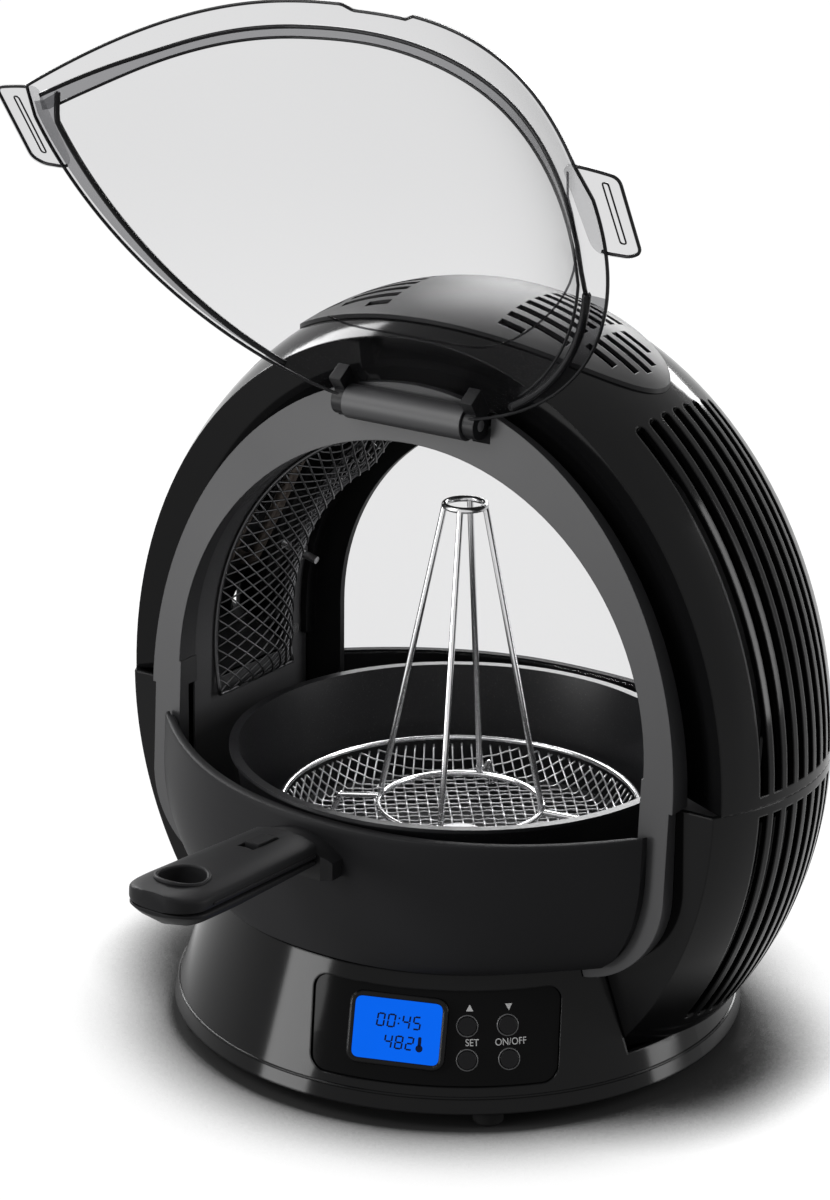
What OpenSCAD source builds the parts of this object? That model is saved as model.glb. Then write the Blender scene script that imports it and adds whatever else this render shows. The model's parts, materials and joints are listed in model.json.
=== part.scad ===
// Rotisserie oven: a louvred ring housing on a round base, a clear lid that swings up from the
// front arch, a clear rear window, and a pan with its own front wall and handle that slides out.
// A wire tray and roasting rack turn in the pan, driven from the base through a blade and slot.
// Origin: the turning axis of the tray, on the surface the oven stands on. Front is -Y, +Z is up.

/* [Ring housing] */
// Half width of the ring at its crown
body_half_w = 202; // [190:1:215]
// Height of the joint between the two ring shells
seam_z = 170; // [165:1:176]
// Height of the upper half ring for each unit of width
top_rise = 1.16; // [1.14:0.01:1.22]
// Depth of the lower half ring for each unit of width
foot_rise = 1.09; // [1.06:0.01:1.12]
// Radius of the crown across the ring
crown_r = 128; // [115:1:145]
// Place of the crown from front to back
crown_y = 12; // [6:1:18]
// Front edge of the upper shell
front_lip_y = -47; // [-49:1:-43]
// Rear edge of both shells
rear_lip_y = 64; // [60:1:68]
// Wall of the shells
shell_t = 3; // [2:0.5:4]
// Inner radius of the sloping valley round the front arch
valley_r = 154; // [152.5:0.5:158]
// Depth at which the valley ends
valley_y = -31; // [-36:1:-28]
// Lower edge of the shells, over the skirt of the base
shell_foot_z = 28; // [25:1:34]

/* [Louvres] */
// Number of louvre slots on each side
slot_count = 8; // [5:1:9]
// Spacing of the louvre slots
slot_pitch = 10.3; // [9:0.1:10.8]
// Width of a louvre slot
slot_w = 6.4; // [4:0.1:7]
// Place of the foremost slot
first_slot_y = -21; // [-26:1:-17]
// Angle up the ring at which the slots end
slot_top_angle = 53; // [40:1:56]
// Angle down the ring at which the slots end
slot_foot_angle = 36; // [25:1:42]
// Height of the bridge that closes each slot at the seam
slot_bridge = 5; // [3:0.5:9]

/* [Vent cap] */
// Half width of the vent cap
cap_half_w = 112; // [100:1:118]
// Half depth of the vent cap
cap_half_d = 48; // [42:1:50]
// Height of the vent cap over the shell
cap_proud = 2; // [1:0.5:3]
// Spacing of the vent slots
cap_pitch = 8.6; // [8:0.1:12]
// Width of a vent slot
cap_slot_w = 4.6; // [3:0.1:5.5]

/* [Front arch] */
// Height of the centre of the arched opening
mouth_z = 185; // [182:1:188]
// Width of the bezel's face round the valley
bezel_rim = 12; // [10:1:15]
// Height of the bezel's top over a half circle
bezel_lift = 28; // [26:1:31]
// Front face of the bezel at the seam
bezel_face_y = -59; // [-61:0.5:-57]
// Lean of the bezel's face
bezel_lean = 3.1; // [2:0.1:4]

/* [Lid] */
// Angle by which the lid stands open at rest
lid_open = 145; // [120:1:150]
// Wall of the lid
lid_t = 2.6; // [2:0.1:3.5]
// Width of each grip tab
grip_w = 24; // [16:1:30]

/* [Hinge] */
// Depth of the hinge axis
hinge_y = -53.7; // [-55:0.1:-52.5]
// Depth of the hinge axis under the top of the bezel
hinge_drop = 13; // [11:0.5:14]
// Radius of the hinge barrel
barrel_r = 9; // [8:0.5:10]
// Half length of the hinge barrel
barrel_half = 36.5; // [30:0.5:42]
// Radius of the hinge pin
pin_r = 3; // [2:0.1:4]
// Width of each lid lug
lug_w = 7; // [5:0.5:9]

/* [Base] */
// Radius of the base at its foot
base_foot_r = 157; // [154:1:162]
// Radius of the base at its deck
base_deck_r = 133.5; // [131:0.5:136]
// Height of the base's lower edge
base_foot_z = 9; // [7:0.5:12]
// Height of the deck that the pan stands on
deck_z = 77; // [76:0.5:79]
// Wall of the base
base_t = 3; // [2.5:0.5:4]
// Outer radius of the drive well
well_r = 118; // [110:1:121]
// Radius of a foot
foot_r = 8; // [6:0.5:11]

/* [Controls] */
// Angle round the base at which the control panel starts
panel_from = 2; // [0:1:5]
// Angle round the base at which the control panel ends
panel_to = 55; // [50:1:57]
// Lower edge of the control panel
panel_low_z = 22; // [19:1:25]
// Upper edge of the control panel
panel_high_z = 69; // [66:1:70]
// Width of the display
display_w = 50; // [40:1:52]
// Height of the display
display_h = 28; // [22:1:30]
// Radius of a button
button_r = 4.7; // [3.5:0.1:6]
// Travel of a button
button_travel = 1; // [0.5:0.1:1.5]

/* [Pan] */
// Inner radius of the pan at its rim
pan_rim_r = 121; // [117:0.5:122]
// Inner radius of the pan at its floor
pan_floor_r = 112; // [104:0.5:113]
// Height of the pan's rim
pan_rim_z = 154; // [150:1:156]
// Gap between the deck and the pan's floor
pan_lift = 9; // [8.5:0.5:10]
// Sheet of the pan
pan_t = 2; // [1.5:0.1:2.5]
// Thickness of the front wall at its foot
wall_t = 4.5; // [3:0.5:5]

/* [Handle] */
// Place of the handle from side to side
handle_x = -13; // [-20:1:0]
// Place of the handle's tip
handle_tip_y = -253; // [-260:1:-240]
// Top of the handle
handle_top_z = 147; // [145:1:148]
// Thickness of the handle
handle_t = 24; // [20:1:28]
// Half the width of the handle at its tip
tip_half = 22.5; // [20:0.5:25]
// Rise of the handle towards its tip, in degrees
handle_tilt = 3.5; // [2:0.5:5]
// Radius of the hanging hole
hang_hole_r = 12; // [8:0.5:14]

/* [Tray and rack] */
// Radius of the tray's rim
tray_rim_r = 98; // [90:1:103]
// Radius of the tray's floor
tray_floor_r = 90; // [84:1:94]
// Height of the tray's floor
tray_floor_z = 98; // [97:0.5:102]
// Height of the tray's side
tray_side_h = 20; // [14:1:24]
// Spacing of the tray's mesh
mesh_pitch = 9; // [8:0.5:14]
// Radius of the tray's rim wire
rim_wire_r = 1.6; // [1.2:0.1:2.2]
// Radius of the rack's ring
rack_ring_r = 45; // [38:1:52]
// Height of the rack above the tray's floor
rack_h = 190; // [150:1:205]
// Radius of the rack's wire
rack_wire_r = 1.7; // [1.3:0.1:2.2]

/* [Drive] */
// Teeth of the drive gear
gear_teeth = 45; // [40:1:50]
// Teeth of the motor's pinion
pinion_teeth = 12; // [12:1:16]
// Gear module
gear_module = 2; // [1.8:0.1:2.1]
// Radius of the drive shaft
drive_shaft_r = 5; // [4:0.5:5.5]

/* [Heater] */
// Space between the liner and the inner edge of the shell
liner_room = 5.2; // [4.5:0.1:5.5]
// Inward bulge of the heater guard
guard_bulge = 20; // [14:1:22]
// Radius of the heating element's tube
element_r = 3.5; // [2.5:0.1:4]
// Radius of the fan
fan_r = 32; // [26:1:33]

/* [Hidden] */
fine = 96;
coarse = 32;
// Running clearance between a shaft and its bore
running = 0.05;
// Clearance of a piece that is pushed home by hand
snug = 0.1;
// Gap left between pieces that are fitted face to face
seat = 0.3;
// Size of the blocks that cut whole regions away
reach = 2 * body_half_w;

// ---------- sizes that follow the ring ----------
mouth_r = valley_r - 6;
liner_r = valley_r - liner_room;
bezel_half_w = valley_r + bezel_rim;
bezel_top_z = seam_z + bezel_half_w + bezel_lift;
hinge_z = bezel_top_z - hinge_drop;
lid_half_w = bezel_half_w - 2;
wall_half_w = valley_r - 1;

// Block that fills everything between two heights
module slab(low_z, high_z) {
    translate([-reach, -reach, low_z])
        cube([2 * reach, 2 * reach, high_z - low_z]);
}

module both_sides() {
    for (side = [0, 1])
        mirror([side, 0, 0])
            children();
}

// ---------- outline of the ring ----------
// Radius of the crowned outer face at a depth
function crown_at(y, inset = 0) =
    body_half_w - crown_r + sqrt(pow(crown_r - inset, 2) - pow(y - crown_y, 2));
// A point of the ring's outline, for a radius and an angle up or down the ring
function ring_point(r, a, rise) = [r * cos(a), r * sin(a) * rise];

// Half a ring about the front-to-back axis, from a section as (radius, depth). It hangs
// below the seam, or stands on it when up is true.
module half_ring(rise, up) {
    translate([0, 0, seam_z])
        mirror([0, 0, up ? 1 : 0])
            scale([1, 1, rise])
                rotate([-90, 0, 0])
                    rotate_extrude(angle = 180, $fn = fine)
                        children();
}

// Section of the ring shell: crowned outside, open inside. corners gives the side walls.
module shell_section(corners, inner_corners) {
    difference() {
        crown_section(corners, 0);
        crown_section(inner_corners, shell_t);
    }
}

module crown_section(corners, inset) {
    intersection() {
        translate([body_half_w - crown_r, crown_y])
            circle(r = crown_r - inset, $fn = fine);
        polygon(corners);
    }
}

// The side louvres: flat-sided slots square to the depth of the oven with round ends
module louvre_cutters(from_angle, to_angle, rise, up) {
    for (side = [0, 1], i = [0 : slot_count - 1])
        mirror([side, 0, 0])
            translate([0, first_slot_y + i * slot_pitch, seam_z])
                mirror([0, 0, up ? 0 : 1])
                    louvre(from_angle, to_angle, rise);
}

module louvre(from_angle, to_angle, rise) {
    near = body_half_w * 0.65;
    far = body_half_w * 1.4;
    square_angle = atan2(slot_bridge, body_half_w);
    end_angle = atan2(rise * sin(to_angle), cos(to_angle));
    rotate([90, 0, 0])
        linear_extrude(slot_w, center = true)
            polygon([
                ring_point(near, max(from_angle, square_angle), rise),
                ring_point(far, max(from_angle, square_angle), rise),
                ring_point(far, to_angle, rise),
                ring_point(near, to_angle, rise)]);
    rotate([0, -end_angle, 0])
        translate([near, 0, 0])
            rotate([0, 90, 0])
                cylinder(h = far - near, r = slot_w / 2, $fn = coarse);
}

module upper_shell() {
    inner_r = valley_r - 1;
    color("#0b0b0c")
        difference() {
            half_ring(top_rise, true)
                shell_section(
                    [[valley_r, valley_y], [crown_at(front_lip_y), front_lip_y],
                        [reach, front_lip_y], [reach, rear_lip_y], [valley_r, rear_lip_y]],
                    [[inner_r, valley_y + shell_t * 1.2],
                        [crown_at(front_lip_y) - shell_t * 0.6, front_lip_y + shell_t],
                        [reach, front_lip_y + shell_t], [reach, rear_lip_y - shell_t],
                        [inner_r, rear_lip_y - shell_t]]);
            louvre_cutters(0, slot_top_angle, top_rise, true);
            cap_openings(0);
        }
}

// The lower shell has no valley: its front face is flush with the bezel's flank
lower_face_y = front_lip_y - 4.4;
module left_shell() { lower_shell(1); }
module right_shell() { lower_shell(0); }

module lower_shell(side) {
    inner_r = valley_r - 2.5;
    color("#0b0b0c")
        difference() {
            half_ring(foot_rise, false)
                shell_section(
                    [[inner_r, lower_face_y], [reach, lower_face_y], [reach, rear_lip_y],
                        [inner_r, rear_lip_y]],
                    [[inner_r - 1, lower_face_y + shell_t], [reach, lower_face_y + shell_t],
                        [reach, rear_lip_y - shell_t], [inner_r - 1, rear_lip_y - shell_t]]);
            louvre_cutters(0, slot_foot_angle, foot_rise, false);
            mirror([side, 0, 0])
                translate([-2 * reach, -reach, -reach])
                    cube([2 * reach, 2 * reach, 2 * reach]);
            slab(-reach, shell_foot_z + seat);
            cylinder(h = deck_z + 1, r = well_r + 0.6, $fn = fine);
        }
}

// ---------- vent cap ----------
cap_ledge = 4;
module oval_prism(half_w, half_d, height) {
    scale([1, half_d / half_w, 1])
        cylinder(h = height, r = half_w, $fn = fine);
}

// Bridge of the shell across the crown, under the middle of the cap
crown_bridge = 27;
module cap_openings(inset) {
    translate([0, crown_y, seam_z])
        difference() {
            oval_prism(cap_half_w - cap_ledge - inset, cap_half_d - cap_ledge - inset, reach);
            translate([-crown_bridge - inset, -reach, -1])
                cube([2 * (crown_bridge + inset), 2 * reach, 2 * reach]);
        }
}

// Band of the upper ring between two depths under its surface
module crown_band(low, high) {
    half_ring(top_rise, true)
        intersection() {
            difference() {
                translate([body_half_w - crown_r, crown_y])
                    circle(r = crown_r + high, $fn = fine);
                translate([body_half_w - crown_r, crown_y])
                    circle(r = crown_r + low, $fn = fine);
            }
            translate([body_half_w * 0.75, -reach])
                square([reach, 2 * reach]);
        }
}

module vent_cap() {
    rows = floor(cap_half_d / cap_pitch);
    color("#161617")
        intersection() {
            crown_band(snug, cap_proud);
            translate([0, crown_y, seam_z])
                linear_extrude(reach)
                    difference() {
                        scale([1, cap_half_d / cap_half_w])
                            circle(r = cap_half_w, $fn = fine);
                        for (side = [0, 1], row = [-rows : rows])
                            mirror([side, 0])
                                translate([0, row * cap_pitch])
                                    vent_row(row * cap_pitch);
                    }
        }
}

// Frame of the cap, inside each opening of the shell
module cap_frame() {
    wall = 3;
    color("#101011")
        intersection() {
            crown_band(-shell_t - 4, 0);
            difference() {
                cap_openings(snug);
                cap_openings(snug + wall);
            }
        }
}

// Slots of one row of the cap, in two banks
bank_inner = 34;
bank_split = 70;
bank_bridge = 6;
cap_margin = 9;
module vent_row(offset_y) {
    room = 1 - pow(offset_y / (cap_half_d - cap_margin), 2);
    row_end = room > 0 ? (cap_half_w - cap_margin) * sqrt(room) : 0;
    if (row_end > bank_inner + 12)
        vent_slot(bank_inner, min(bank_split, row_end));
    if (row_end > bank_split + bank_bridge + 10)
        vent_slot(bank_split + bank_bridge, row_end);
}

module vent_slot(x0, x1) {
    translate([x0, -cap_slot_w / 2])
        square([x1 - x0, cap_slot_w]);
}

// ---------- front arch ----------
// Face of the leaning bezel at a height
function face_y(z) = bezel_face_y + (z - seam_z) * tan(bezel_lean);
bezel_low_z = deck_z - 7;
bezel_low_half = bezel_half_w - 2;
bezel_corner = 52;
mouth_low_half = mouth_r - 1;
mouth_corner = 60;
bezel_back_y = -44;

// Arch with rounded lower corners, in width and height
module arch_outline(half_w, top_h, low_half, low_z, corner, centre_z) {
    translate([0, centre_z])
        scale([1, top_h / half_w])
            intersection() {
                circle(r = half_w, $fn = fine);
                translate([-reach, 0])
                    square([2 * reach, reach]);
            }
    translate([-low_half, low_z + corner])
        square([2 * low_half, centre_z - low_z - corner + 0.01]);
    translate([-low_half + corner, low_z])
        square([2 * (low_half - corner), corner + 1]);
    for (side = [-1, 1])
        translate([side * (low_half - corner), low_z + corner])
            circle(r = corner, $fn = fine);
}

module bezel_outline() {
    arch_outline(bezel_half_w, bezel_top_z - seam_z, bezel_low_half, bezel_low_z, bezel_corner,
        seam_z);
}

module mouth_outline() {
    arch_outline(mouth_r, mouth_r, mouth_low_half, bezel_low_z - 4, mouth_corner, mouth_z);
}

// Stands an outline upright between two depths
module upright(y0, y1) {
    translate([0, y1, 0])
        rotate([90, 0, 0])
            linear_extrude(y1 - y0)
                children();
}

module along_hinge(half_length) {
    translate([-half_length, hinge_y, hinge_z])
        rotate([0, 90, 0])
            children();
}

module front_bezel() {
    lug_room = 1.8;
    bore_half = barrel_half + lug_w;
    color("#232325")
        difference() {
            union() {
                difference() {
                    upright(bezel_face_y - 12, bezel_back_y)
                        bezel_outline();
                    upright(bezel_face_y - 20, bezel_back_y + 10)
                        mouth_outline();
                    // leaning front face
                    translate([0, bezel_face_y, seam_z])
                        rotate([-bezel_lean, 0, 0])
                            translate([-reach, -reach, -reach])
                                cube([2 * reach, reach, 2 * reach]);
                    // the lower shell's face stands further forward than the upper one's
                    translate([-reach, lower_face_y - seat, -reach])
                        cube([2 * reach, reach, reach + seam_z]);
                    base_solid(0.5);
                }
                // neck that closes the groove down to the liner
                difference() {
                    upright(bezel_back_y - 1, valley_y + 1)
                        arch_outline(valley_r - 1.5, (valley_r - 1.5) * top_rise, valley_r - 1.5,
                            seam_z - 2, 1, seam_z);
                    upright(bezel_back_y - 2, valley_y + 2)
                        liner_profile(liner_r + liner_t + snug);
                    slab(-reach, seam_z);
                }
                along_hinge(barrel_half)
                    cylinder(h = 2 * barrel_half, r = barrel_r, $fn = fine);
            }
            along_hinge(bore_half)
                cylinder(h = 2 * bore_half, r = pin_r + 0.01, $fn = fine);
            both_sides()
                translate([barrel_half, hinge_y, hinge_z])
                    rotate([0, 90, 0])
                        cylinder(h = lug_w + 2 * lug_room, r = barrel_r + lug_room, $fn = fine);
        }
}

// ---------- rear ----------
rear_mouth_r = valley_r - 27;
rear_mouth_z = mouth_z + 5;
rear_frame_t = 4;
rear_frame_y = rear_lip_y + seat;
module rear_frame() {
    color("#19191a")
        difference() {
            union() {
                upright(rear_frame_y, rear_frame_y + rear_frame_t)
                    arch_outline(valley_r + 14, (valley_r + 14) * top_rise, valley_r + 8, deck_z + 1,
                        bezel_corner, seam_z);
                // collar inside the upper half of the liner
                difference() {
                    upright(liner_rear_y - 5, rear_frame_y + 1)
                        difference() {
                            liner_profile(liner_r - snug);
                            liner_profile(liner_r - 4);
                        }
                    slab(seam_z - reach, seam_z);
                }
            }
            upright(rear_lip_y - 1, rear_lip_y + 20)
                arch_outline(rear_mouth_r, rear_mouth_r, rear_mouth_r, deck_z - 8, 30, rear_mouth_z);
        }
}

// ---------- lofted panels ----------
// A bowed wall over an edge that lies square to the depth: u runs from side to side (-1 to 1)
// and the bow is fullest in the middle.
bow_power = 2.3;
function bow(u, power = bow_power) = 1 - pow(abs(u), power);

// Closed skin between two grids of points
module skin(outer, inner) {
    rows = len(outer);
    cols = len(outer[0]);
    count = rows * cols;
    function at(side, r, c) = side * count + r * cols + c;
    points = [for (grid = [outer, inner], row = grid, p = row) p];
    faces = concat(
        [for (r = [0 : rows - 2], c = [0 : cols - 2])
            [at(0, r + 1, c), at(0, r + 1, c + 1), at(0, r, c + 1), at(0, r, c)]],
        [for (r = [0 : rows - 2], c = [0 : cols - 2])
            [at(1, r, c), at(1, r, c + 1), at(1, r + 1, c + 1), at(1, r + 1, c)]],
        [for (c = [0 : cols - 2])
            [at(0, 0, c), at(0, 0, c + 1), at(1, 0, c + 1), at(1, 0, c)]],
        [for (c = [0 : cols - 2])
            [at(1, rows - 1, c), at(1, rows - 1, c + 1), at(0, rows - 1, c + 1),
                at(0, rows - 1, c)]],
        [for (r = [0 : rows - 2])
            [at(0, r, 0), at(1, r, 0), at(1, r + 1, 0), at(0, r + 1, 0)]],
        [for (r = [0 : rows - 2])
            [at(0, r + 1, cols - 1), at(1, r + 1, cols - 1), at(1, r, cols - 1),
                at(0, r, cols - 1)]]);
    polyhedron(points, faces, convexity = 8);
}

// Front wall of the pan: its outline turns in to the deck at the lower corners
wall_corner = 54;
wall_foot_half = pan_rim_r + 3;
wall_low_z = deck_z + 1;
wall_dip = 6;
wall_gap = 0.8;
wall_ledge = 7;
// Room from the pan's side to the outside of the wall at its middle
pan_room = 8.8;
wall_bow = pan_rim_r + pan_room + bezel_face_y - 1 - wall_gap - wall_t;
lid_bulge = wall_bow + wall_t + 1;
function wall_half(z) =
    z > wall_low_z + wall_corner ? wall_half_w
    : wall_foot_half + (wall_half_w - wall_foot_half)
        * sqrt(1 - pow((wall_low_z + wall_corner - z) / wall_corner, 2));
function wall_top(u) = pan_rim_z + 1 - wall_dip * bow(u);
// The wall is wall_t thick, with a ledge along its top edge
function wall_point(u, v, inset) =
    let (z = wall_low_z + (wall_top(u) - wall_low_z) * pow(v, 1.4),
        back = face_y(z) - wall_gap)
    [u * (wall_half(z) - inset * 0.2), min(back, back - wall_t - wall_bow * bow(u) + inset), z];

module pan_front() {
    steps = 14;
    levels = 9;
    function thickness(v) = v > 0.93 ? wall_ledge : wall_t;
    color("#262628")
        skin(
            [for (j = [0 : levels]) [for (i = [-steps : steps])
                wall_point(i / steps, j / levels, 0)]],
            [for (j = [0 : levels]) [for (i = [-steps : steps])
                wall_point(i / steps, j / levels, thickness(j / levels))]]);
}

// Rear wall, fixed to the housing behind the pan
rear_wall_half = valley_r - 4;
rear_wall_foot = pan_rim_r - 9;
rear_wall_bow = 66;
function rear_point(u, v, inset) =
    let (z = wall_low_z + (pan_rim_z - wall_low_z) * v,
        half = rear_wall_foot + (rear_wall_half - rear_wall_foot) * sqrt(1 - pow(1 - v, 2)))
    [u * (half - inset * 0.2),
        min(-rear_frame_y - rear_frame_t - snug,
            inset - rear_frame_y - rear_frame_t - snug - wall_t - rear_wall_bow * bow(u)), z];

module rear_wall() {
    steps = 12;
    levels = 6;
    color("#1c1c1d")
        mirror([0, 1, 0])
            skin(
                [for (j = [0 : levels]) [for (i = [-steps : steps])
                    rear_point(i / steps, j / levels, 0)]],
                [for (j = [0 : levels]) [for (i = [-steps : steps])
                    rear_point(i / steps, j / levels, wall_t)]]);
}

// A domed window over an arch: half width and bulge shrink towards the top
function dome_half(v, half, low_z, high_z, mid_z) =
    let (z = low_z + (high_z - low_z) * v)
    z < mid_z ? half : half * sqrt(max(0, 1 - pow((z - mid_z) / (high_z - mid_z), 2)));

window_low_z = pan_rim_z + 0.8;
window_high_z = rear_mouth_z + rear_mouth_r + 17;
window_mid_z = rear_mouth_z;
window_half = valley_r - 8;
window_bow = 59;
function window_point(u, v, inset) =
    let (z = window_low_z + (window_high_z - window_low_z) * v,
        half = max(6, dome_half(v, window_half, window_low_z, window_high_z, window_mid_z)),
        flat_u = min(1, abs(u) / 0.94))
    [u * half, -(rear_frame_y + rear_frame_t + snug + lid_t - inset
        + window_bow * pow(1 - pow(v, 2.2), 0.7) * bow(flat_u, bow_power + v)), z];

module rear_window() {
    steps = 10;
    levels = 12;
    color("#9a9ea2", 0.4)
        mirror([0, 1, 0])
            skin(
                [for (j = [0 : levels]) [for (i = [-steps : steps])
                    window_point(i / steps, sin(90 * j / levels), 0)]],
                [for (j = [0 : levels]) [for (i = [-steps : steps])
                    window_point(i / steps, sin(90 * j / levels), lid_t)]]);
}

// ---------- lid ----------
// Swings a piece of the closed lid open, to rest
module opened() {
    translate([0, hinge_y, hinge_z])
        rotate([-lid_open, 0, 0])
            translate([0, -hinge_y, -hinge_z])
                children();
}

lid_low_z = pan_rim_z - 9.5;
lid_corner_z = pan_rim_z + 1;
lid_top_z = hinge_z - 1;
lid_mid_z = seam_z + 5;
lid_corner_half = lid_half_w - 6.4;
lid_gap = 0.7;
function lid_z(u, v) =
    let (low = lid_low_z + (lid_corner_z - lid_low_z) * pow(abs(u), bow_power))
    low + (lid_top_z - low) * v;
function lid_half(z) =
    z < lid_mid_z
        ? lid_corner_half + (lid_half_w - lid_corner_half) * (z - lid_low_z) / (lid_mid_z - lid_low_z)
        : lid_half_w * sqrt(max(0, 1 - pow((z - lid_mid_z) / (lid_top_z - lid_mid_z), 2)));
function lid_point(u, v, inset) =
    let (edge_z = lid_z(1, v),
        half = max(22, lid_half(edge_z)),
        rim = 1 - 0.09 * min(1, v / 0.15),
        z = lid_z(u, v),
        inner_u = min(1, abs(u) / rim))
    [u * (half - inset * 0.3 * (1 - v)),
        face_y(z) - lid_gap - lid_t + inset
            - (lid_bulge - inset * 0.3) * pow(1 - pow(v, 2), 0.8)
                * bow(inner_u, bow_power + 0.15 + 1.6 * v), z];

module lid_panel() {
    steps = 14;
    levels = 16;
    notch_half = barrel_half + lug_w + 1;
    color("#8f9498", 0.35)
        opened()
            difference() {
                skin(
                    [for (j = [0 : levels]) [for (i = [-steps : steps])
                        lid_point(i / steps, sin(90 * j / levels), 0)]],
                    [for (j = [0 : levels]) [for (i = [-steps : steps])
                        lid_point(i / steps, sin(90 * j / levels), lid_t)]]);
                translate([-notch_half, hinge_y - 30, hinge_z - barrel_r - 1.4])
                    cube([2 * notch_half, 60, 60]);
            }
}

module lid_grips() {
    color("#8f9498", 0.35)
        opened()
            both_sides()
                grip_tab();
}

// Flat grip at each lower corner of the lid
grip_low_z = 157.5;
grip_high_z = 209;
module grip_tab() {
    inner_x = lid_half_w - 9;
    middle_z = (grip_low_z + grip_high_z) / 2;
    face = face_y(middle_z) - lid_gap - lid_t;
    translate([0, face + 0.3, middle_z])
        rotate([90 - bezel_lean, 0, 0])
            translate([0, -middle_z, 0])
                linear_extrude(lid_t + 0.4)
                difference() {
                    polygon([[inner_x, grip_low_z], [lid_half_w + grip_w - 6, grip_low_z],
                        [lid_half_w + grip_w, grip_low_z + 6], [lid_half_w + grip_w - 3, grip_high_z - 6],
                        [lid_half_w + grip_w - 9, grip_high_z], [inner_x, grip_high_z]]);
                    translate([lid_half_w + grip_w - 10, grip_low_z + 8])
                        square([2.4, grip_high_z - grip_low_z - 16]);
                }
}

// Lugs that carry the lid on the hinge pin, with their plate on the panel
lug_r = 7.5;
module lid_lugs() {
    arm_low_z = hinge_z - barrel_r - 7;
    arm_front_y = hinge_y - 10.5;
    color("#8f9498", 0.35)
        opened()
            difference() {
                union() {
                    both_sides()
                        translate([barrel_half + 0.5, hinge_y, hinge_z])
                            rotate([0, 90, 0])
                                cylinder(h = lug_w, r = lug_r, $fn = fine);
                    for (side = [0, 1])
                        mirror([side, 0, 0])
                            translate([barrel_half + 0.5, arm_front_y, arm_low_z])
                                cube([lug_w, hinge_y - arm_front_y, hinge_z - arm_low_z]);
                }
                along_hinge(reach)
                    cylinder(h = 2 * reach, r = pin_r + running, $fn = fine);
            }
}

module hinge_pin() {
    half = barrel_half + 0.5 + lug_w;
    color("#b9bcc0")
        along_hinge(half)
            cylinder(h = 2 * half, r = pin_r, $fn = fine);
}

// ---------- base ----------
function base_r(z) = base_foot_r
    - (z - base_foot_z) * (base_foot_r - base_deck_r) / (deck_z - base_foot_z);
base_slope = atan((base_foot_r - base_deck_r) / (deck_z - base_foot_z));

// Solid of the base's flared form, grown by a margin
module base_solid(margin = 0) {
    translate([0, 0, base_foot_z])
        cylinder(h = deck_z - base_foot_z + margin, r1 = base_foot_r + margin,
            r2 = base_deck_r + margin, $fn = fine);
}

// Keeps what shows of the base in front of and behind the ring
module outside_ring() {
    intersection() {
        children();
        union() {
            slab(-1, shell_foot_z);
            translate([-reach, -reach, -1])
                cube([2 * reach, reach + lower_face_y - 2 * seat, reach]);
            translate([-reach, rear_lip_y + 2 * seat, -1])
                cube([2 * reach, reach, reach]);
        }
    }
}

module base_housing() {
    color("#0c0c0d")
        difference() {
            union() {
                outside_ring()
                    difference() {
                        base_solid();
                        translate([0, 0, base_foot_z - base_t])
                            cylinder(h = deck_z - base_foot_z,
                                r1 = base_r(base_foot_z - base_t) - base_t,
                                r2 = base_r(deck_z - base_t) - base_t, $fn = fine);
                    }
                // drive well under the deck, with its floor ring on the base plate
                difference() {
                    translate([0, 0, base_foot_z + base_t])
                        cylinder(h = deck_z - base_foot_z - base_t, r = well_r, $fn = fine);
                    translate([0, 0, base_foot_z])
                        cylinder(h = deck_z - base_foot_z - base_t, r = well_r - base_t, $fn = fine);
                }
            }
            translate([0, 0, deck_z - 10])
                cylinder(h = 20, r = bearing_r + running, $fn = fine);
            panel_window(0);
            // opening for the cord inlet
            on_base(inlet_a, inlet_z, 20)
                cylinder(h = 40, r = inlet_r + snug, $fn = coarse);
        }
}

module base_plate() {
    vent_count = 12;
    color("#202021")
        difference() {
            translate([0, 0, base_foot_z])
                cylinder(h = base_t - 0.1, r = base_foot_r - base_t - 2, $fn = fine);
            for (i = [0 : vent_count - 1])
                rotate([0, 0, i * 360 / vent_count])
                    translate([40, -2, 0])
                        cube([50, 4, base_foot_z + base_t]);
            for (a = screw_angles)
                rotate([0, 0, a])
                    translate([screw_ring_r, 0, 0])
                        cylinder(h = 40, r = 2.2, $fn = coarse);
        }
}

// Four pads near the rim and one under the middle
foot_ring_r = 146;
foot_angles = [50, 130, 230, 310];
module feet() {
    color("#111111")
        union() {
            foot_pad();
            for (a = foot_angles)
                rotate([0, 0, a])
                    translate([foot_ring_r, 0, 0])
                        foot_pad();
        }
}

module foot_pad() {
    rotate_extrude($fn = coarse)
        polygon([[0, 0], [foot_r - 1.5, 0], [foot_r, 1.5], [foot_r, base_foot_z], [0, base_foot_z]]);
}

// Screws that hold the base plate to the drive well
screw_angles = [0, 90, 180, 270];
screw_ring_r = 116.5;
module base_screws() {
    color("#a8abae")
        for (a = screw_angles)
            rotate([0, 0, a])
                translate([screw_ring_r, 0, base_foot_z - 1.6]) {
                    cylinder(h = 1.6, r = 3.6, $fn = coarse);
                    cylinder(h = base_t + 1.6, r = 1.8, $fn = coarse);
                }
}

// Gland where the mains lead enters at the back
inlet_a = 155;
inlet_z = 45;
inlet_r = 7;
module cord_inlet() {
    collar_h = 3;
    color("#141414")
        on_base(inlet_a, inlet_z, 7)
            difference() {
                union() {
                    cylinder(h = 14, r = inlet_r, $fn = coarse);
                    translate([0, 0, 7.5])
                        cylinder(h = collar_h, r = inlet_r + 2.5, $fn = coarse);
                    cylinder(h = collar_h, r = inlet_r - snug, $fn = coarse);
                }
                translate([0, 0, -1])
                    cylinder(h = 30, r = 3.6, $fn = coarse);
            }
}

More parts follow.
